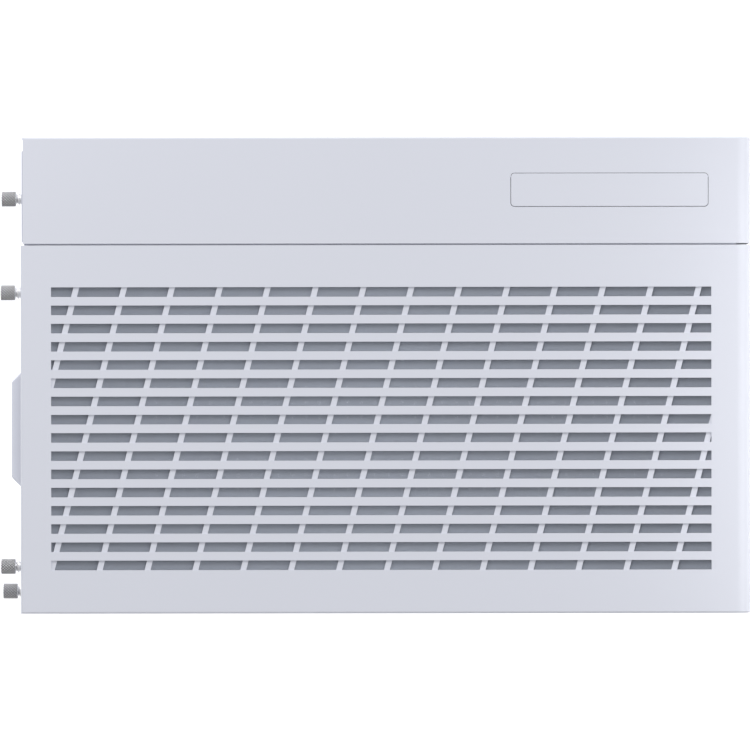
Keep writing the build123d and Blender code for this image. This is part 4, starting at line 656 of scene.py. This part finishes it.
class CASE_OT_weave_filters(bpy.types.Operator):
    """Weave the dust filters of the top, the floor and the right side from fine wires"""

    bl_idname = "case.weave_filters"
    bl_label = "Weave Filters"

    def execute(self, context):
        sizes = context.scene.case_sizes
        wire = (sizes.wire_pitch, sizes.wire_gauge)
        cloth = MATERIALS["grey_mesh"]

        points, faces = wire_cloth(*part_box("top_filter_mesh"), 2, *wire)
        piece = new_piece("top_weave", points, faces, "top_panel", cloth)
        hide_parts("top_filter_mesh")

        low, high = (np.array(corner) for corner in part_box("bottom_filter_mesh"))
        bar = 8.0 * MM
        width = (high[0] - low[0] - 2 * bar) / 3
        windows = []
        for number in range(3):
            left = low[0] + number * (width + bar)
            windows.append(wire_cloth((left, *low[1:]), (left + width, *high[1:]), 2, *wire))
        piece = new_piece("bottom_weave", *join(windows), "floor_filter", cloth)
        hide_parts("bottom_filter_mesh")

        # the side filter's two panels stand apart along the case
        corners = node_points("side_filter")
        band = 4.5 * MM
        cloths = []
        for part in (corners[corners[:, 0] < 0], corners[corners[:, 0] > 0]):
            low, high = part.min(axis=0), part.max(axis=0)
            cloths.append(ring_frame(low, high, 1, band))
            inset = np.array([band - 1 * MM, 0, band - 1 * MM])
            cloths.append(wire_cloth(low + inset, high - inset, 1, *wire))
        piece = new_piece("side_weave", *join(cloths), "right_cover", cloth)
        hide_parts("side_filter")
        return {"FINISHED"}


def screw_head(sizes, seat, y, z):
    """A knurled thumbscrew about an axis that points backwards.

    The head's radius is its full radius less the knurl depth, plus the depth times the
    knurl's height. That height is the smaller of two zigzags that climb round the head in
    opposite helices, with flat crests. The shank's radius falls and rises once in each
    thread pitch, shifted by the turn round the axis. The tone is painted shade that darkens
    the knurl's grooves; it is 1 on plain metal. On the knurl it is v + (1 - v) t^2: v is the
    painted shade of the valleys, and t climbs from 0 to 1 with the height.
    """
    depth, pitch, count = sizes.knurl_depth, sizes.knurl_pitch, sizes.knurl_count
    sides = count * 12
    shank = np.linspace(SCREW_TIP, SHANK_END, 72)[1:]
    body = np.linspace(HEAD_START + 0.5 * MM, HEAD_END - 0.55 * MM, 56)
    dish = HEAD_END - 1.2 * MM
    profile = np.array(
        [(SCREW_TIP, 0.0), (SCREW_TIP, 1.25 * MM)]
        + [(d, SHANK_RADIUS) for d in shank]
        + [(2.26 * MM, SHANK_RADIUS), (2.26 * MM, 2.95 * MM), (2.3 * MM, 3.0 * MM)]
        + [(HEAD_START, 3.0 * MM), (HEAD_START, 4.4 * MM), (HEAD_START + 0.1 * MM, 4.55 * MM)]
        + [(d, HEAD_RADIUS) for d in body]
        + [(HEAD_END - 0.1 * MM, 4.45 * MM), (HEAD_END, 4.3 * MM), (HEAD_END, 2.55 * MM)]
        + [(HEAD_END - 0.15 * MM, 2.4 * MM), (dish, 2.3 * MM), (dish, 0.0)]
    )
    along = profile[:, 0][:, None]
    turn = np.linspace(0, 1, sides, endpoint=False)[None, :]
    is_head = (profile[:, 1] == HEAD_RADIUS)[:, None]
    is_shank = ((profile[:, 1] == SHANK_RADIUS) & (profile[:, 0] < SHANK_END))[:, None]
    one_way = zigzag(along / pitch + turn * count)
    other_way = zigzag(along / pitch - turn * count)
    knob = np.clip(CREST_GAIN * np.minimum(one_way, other_way), 0, 1)
    thread = zigzag(along / sizes.thread_pitch - turn)
    ripple = np.where(is_head, depth * (knob - 1), 0.0)
    ripple = ripple + np.where(is_shank, THREAD_DEPTH * (thread - 1), 0.0)
    points = about_axis(profile, (seat, y, z), (-1, 0, 0), (0, -1, 0), sides, ripple)
    # painted shade: the tone darkens the knurl's valleys and leaves its crests at the full colour
    rise = np.clip((knob - SHADE_START) / SHADE_SPAN, 0, 1)
    tone = np.where(is_head, VALLEY_SHADE + (1 - VALLEY_SHADE) * rise**2, 1.0)
    return points, grid_faces(len(profile), sides, closed_columns=True)[:, ::-1], tone


def ferrule(seat, y, z):
    """The collar that holds a thumbscrew captive: a closed profile turned once round.

    The profile climbs from the foot to a thin flange with a rounded rim, and returns
    along the bore.
    """
    bore, foot, flange = 1.85, 3.2, 4.2
    corners = [
        (0.05, bore),
        (0.05, foot),
        (1.15, foot),
        (1.2, flange),
        (2.2, flange),
        (2.2, bore),
        (0.9, bore),
    ]
    radii = (0.2 * MM, 0.15 * MM, 0.25 * MM, 0.35 * MM, 0.12 * MM)
    outline = round_profile(np.array(corners) * MM, radii)
    points = about_axis(outline, (seat, y, z), (-1, 0, 0), (0, -1, 0), TURNED_SIDES)
    faces = grid_faces(len(outline), TURNED_SIDES, closed_rows=True, closed_columns=True)
    return points, faces[:, ::-1]


class CASE_OT_turn_thumbscrews(bpy.types.Operator):
    """Turn the four knurled thumbscrews and the ferrules that hold them"""

    bl_idname = "case.turn_thumbscrews"
    bl_label = "Turn Thumbscrews"

    def execute(self, context):
        sizes = context.scene.case_sizes
        for number in range(1, 5):
            low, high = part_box(f"thumbscrew_{number}")
            y, z = (low.y + high.y) / 2, (low.z + high.z) / 2
            seat = low.x + HEAD_END
            knurled, bright = MATERIALS["knurled"], MATERIALS["bright"]
            points, faces, tone = screw_head(sizes, seat, y, z)
            name, body = f"knurled_screw_{number}", f"screw_{number}"
            # the head carries painted shade in its knurl grooves as its tone
            piece = new_piece(name, points, faces, body, knurled, tone)
            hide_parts(f"thumbscrew_{number}")
            points, faces = ferrule(seat, y, z)
            name, body = f"ferrule_collar_{number}", f"ferrule_{number}"
            piece = new_piece(name, points, faces, body, bright)
            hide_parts(f"thumbscrew_ferrule_{number}")
        return {"FINISHED"}


def fan_rotor(centre, axis, across, sizes):
    """Points and faces of a fan rotor that blows along its axis.

    The hub is a turned cup. A blade is a loop of airfoil points carried outwards:
    at the share v of the way from hub to tip, its middle sits 20 degrees further on,
    its width grows from 34 to 44 degrees less a trim at the tip, and its pitch height
    falls from 14 to 11 mm. Round the loop, the chord share is (1 - cos w) / 2, the height
    follows a shallow arch, and the thickness is sin w times a taper towards the
    trailing edge. The first and the last loop close to a point.
    """
    near, far, wall, lip = 3.9, 21.2, 19.4, 20.9
    corners = [
        (near, 0.0),
        (near, 17.7),
        (near, wall),
        (far, wall),
        (far, 6.0),
        (lip, 5.0),
        (lip, 0.0),
    ]
    radii = (0.0, 0.4 * MM, 1.8 * MM, 0.4 * MM, 0.3 * MM)
    cup = round_profile(np.array(corners) * MM, radii, 6)
    across = np.asarray(across, float)
    cup_faces = grid_faces(len(cup), TURNED_SIDES, closed_columns=True)[:, ::-1]
    hub = about_axis(cup, centre, axis, across, TURNED_SIDES), cup_faces
    rows, columns = 22, 30
    v = np.linspace(0, 1, rows)[:, None]
    w = np.linspace(0, 2 * np.pi, columns, endpoint=False)[None, :]
    radius = (BLADE_ROOT + (BLADE_TIP - BLADE_ROOT) * v) * MM
    chord = (1 - np.cos(w)) / 2
    width = np.radians(34 + 10 * v - 9 * np.clip((v - 0.86) / 0.14, 0, 1) ** 2)
    angle = np.radians(-20 * v) + width * (chord - 0.5)
    rise = (14 - 3 * v) * MM
    arch = 2.2 * MM * np.sin(np.pi * chord)
    half = sizes.blade_thickness / 2 * np.sin(w) * (1.15 - 0.5 * chord)
    height = 12.4 * MM + rise * (0.5 - chord) + arch + half
    local = np.stack([radius * np.cos(angle), radius * np.sin(angle), height], axis=-1)
    local[0], local[-1] = local[0].mean(axis=0), local[-1].mean(axis=0)
    blade_faces = grid_faces(rows, columns, closed_columns=True)
    turns = np.arange(sizes.blade_count) * 2 * np.pi / sizes.blade_count
    zero, one = np.zeros_like(turns), np.ones_like(turns)
    spin = np.stack(
        [
            np.stack([np.cos(turns), -np.sin(turns), zero], axis=-1),
            np.stack([np.sin(turns), np.cos(turns), zero], axis=-1),
            np.stack([zero, zero, one], axis=-1),
        ],
        axis=1,
    )
    base = np.stack([across, np.cross(axis, across), np.asarray(axis, float)], axis=-1)
    middles = np.tile(np.asarray(centre, float), (len(turns), 1))[..., None]
    places = np.concatenate([base @ spin, middles], axis=-1)
    blades = copies(local, blade_faces, places)
    return join([hub, blades])


class CASE_OT_shape_fans(bpy.types.Operator):
    """Shape the fan rotors with swept, arched blades"""

    bl_idname = "case.shape_fans"
    bl_label = "Shape Fans"

    def execute(self, context):
        sizes = context.scene.case_sizes
        fans = [
            (f"side_fan_rotor_{number}", f"side_rotor_{number}", (0, -1, 0), (1, 0, 0))
            for number in (1, 2, 3)
        ]
        fans.append(("rear_fan_rotor", "rear_rotor", (1, 0, 0), (0, 1, 0)))
        for node, body, axis, across in fans:
            low, high = (np.array(corner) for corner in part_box(node))
            facing = np.array(axis, float)
            # heights along the rotor are counted from the back of the fan's frame
            centre = (low + high) / 2 - facing * (ROTOR_HALF + ROTOR_GAP) * MM
            points, faces = fan_rotor(centre, facing, across, sizes)
            piece = new_piece(f"{node}_blades", points, faces, body, MATERIALS["fan_plastic"])
            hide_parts(node)
            split = piece.modifiers.new("sharp edges", "EDGE_SPLIT")
            split.split_angle = np.radians(40)
        return {"FINISHED"}


def plain_material(name, colour, glow):
    """A matt finish, with some light of its own."""
    material = bpy.data.materials.new(name)
    material.use_nodes = True
    shader = material.node_tree.nodes["Principled BSDF"]
    shader.inputs["Base Color"].default_value = (*colour, 1.0)
    shader.inputs["Roughness"].default_value = 1.0
    shader.inputs["Specular IOR Level"].default_value = 0.0
    shader.inputs["Emission Color"].default_value = (1.0, 1.0, 1.0, 1.0)
    shader.inputs["Emission Strength"].default_value = glow
    return material


def area_light(name, power, size, place, aim):
    """A soft rectangular light at a place, turned towards an aim."""
    lamp = bpy.data.lights.new(name, "AREA")
    lamp.shape, lamp.energy = "RECTANGLE", power
    lamp.size, lamp.size_y = size
    thing = bpy.data.objects.new(name, lamp)
    bpy.context.scene.collection.objects.link(thing)
    thing.location = place
    direction = Vector(aim) - Vector(place)
    thing.rotation_euler = direction.to_track_quat("-Z", "Y").to_euler()
    thing.visible_camera = False


class CASE_OT_set_stage(bpy.types.Operator):
    """Lay the floor, hang the lights and set the camera over the top"""

    bl_idname = "case.set_stage"
    bl_label = "Set Stage"

    def execute(self, context):
        stage, scene = context.scene.case_stage, context.scene
        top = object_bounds()[1][2]

        # the floor is one flat square just under the feet, wide enough for every view
        half, drop = 6.0, 0.2 * MM
        mesh = bpy.data.meshes.new("floor")
        square = ((-half, -half), (half, -half), (half, half), (-half, half))
        corners = [(x, y, -drop) for x, y in square]
        mesh.from_pydata(corners, [], [(0, 1, 2, 3)])
        mesh.materials.append(plain_material("pale floor", stage.floor, stage.floor_glow))
        floor = bpy.data.objects.new("floor", mesh)
        scene.collection.objects.link(floor)
        floor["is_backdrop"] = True

        world = bpy.data.worlds.new("studio")
        scene.world = world
        world.use_nodes = True
        sky = world.node_tree.nodes["Background"]
        sky.inputs["Color"].default_value = (1.0, 1.0, 1.0, 1.0)
        # the room is brighter on the key light's side
        tree = world.node_tree
        place = tree.nodes.new("ShaderNodeTexCoord").outputs["Generated"]
        split = tree.nodes.new("ShaderNodeSeparateXYZ")
        ramp = tree.nodes.new("ShaderNodeMapRange")
        tree.links.new(place, split.inputs[0])
        tree.links.new(split.outputs["Y"], ramp.inputs["Value"])
        ramp.inputs["From Min"].default_value = -1.0
        ramp.inputs["To Min"].default_value = stage.sky * (1 - stage.sky_lean)
        ramp.inputs["To Max"].default_value = stage.sky * (1 + stage.sky_lean)
        tree.links.new(ramp.outputs[0], sky.inputs["Strength"])

        key, end, wash = stage.key_power, stage.end_power, stage.wash_power
        middle, front_edge, rear_corner = (0, 0, top), (0.22, 0, top), (-0.2, 0.12, top)
        area_light("key", key, (1.8, 0.8), (0.0, 2.4, 2.1), middle)
        area_light("front_end", end, (0.7, 1.2), (1.6, 0.0, 1.5), middle)
        area_light("rear_end", end, (0.7, 1.2), (-1.6, 0.0, 1.5), middle)
        # two weak washes lift the front edge and the rear right corner of the top
        area_light("front_wash", wash, (0.36, 0.03), (0.315, 0.0, top + 0.075), front_edge)
        area_light("corner_wash", wash, (0.2, 0.2), (-0.42, 0.26, top + 0.26), rear_corner)

        lens = bpy.data.cameras.new("camera")
        lens.lens = lens.sensor_width * stage.camera_height / stage.view_width
        lens.clip_end = 100.0
        camera = bpy.data.objects.new("camera", lens)
        scene.collection.objects.link(camera)
        camera.location = (stage.camera_shift, -stage.camera_drop, top + stage.camera_height)
        camera.rotation_euler = (0.0, 0.0, stage.camera_roll)
        scene.camera = camera
        scene.view_settings.view_transform = "Standard"
        return {"FINISHED"}


class CASE_PT_panel(bpy.types.Panel):
    """Buttons that build the case, in order"""

    bl_label = "Computer Case"
    bl_space_type = "VIEW_3D"
    bl_region_type = "UI"
    bl_category = "Case"

    def draw(self, context):
        for step in STEPS:
            self.layout.operator(step.bl_idname)
        for group in (getattr(context.scene, name) for name in SETTINGS):
            box = self.layout.box()
            for name in group.__annotations__:
                box.prop(group, name)


STEPS = (
    CASE_OT_finish_solids,
    CASE_OT_weave_filters,
    CASE_OT_turn_thumbscrews,
    CASE_OT_shape_fans,
    CASE_OT_set_stage,
)
SETTINGS = {"case_sizes": CaseSizes, "case_colours": CaseColours, "case_stage": CaseStage}


def register():
    """Register the settings, the operators and the panel."""
    for kind in (*SETTINGS.values(), *STEPS, CASE_PT_panel):
        bpy.utils.register_class(kind)
    for name, kind in SETTINGS.items():
        setattr(bpy.types.Scene, name, bpy.props.PointerProperty(type=kind))


def unregister():
    """Undo register, last first."""
    for name in SETTINGS:
        delattr(bpy.types.Scene, name)
    for kind in reversed((*SETTINGS.values(), *STEPS, CASE_PT_panel)):
        bpy.utils.unregister_class(kind)


def main():
    """Build the whole model."""
    register()
    for step in STEPS:
        area, name = step.bl_idname.split(".")
        getattr(getattr(bpy.ops, area), name)()


if __name__ == "__main__":
    main()
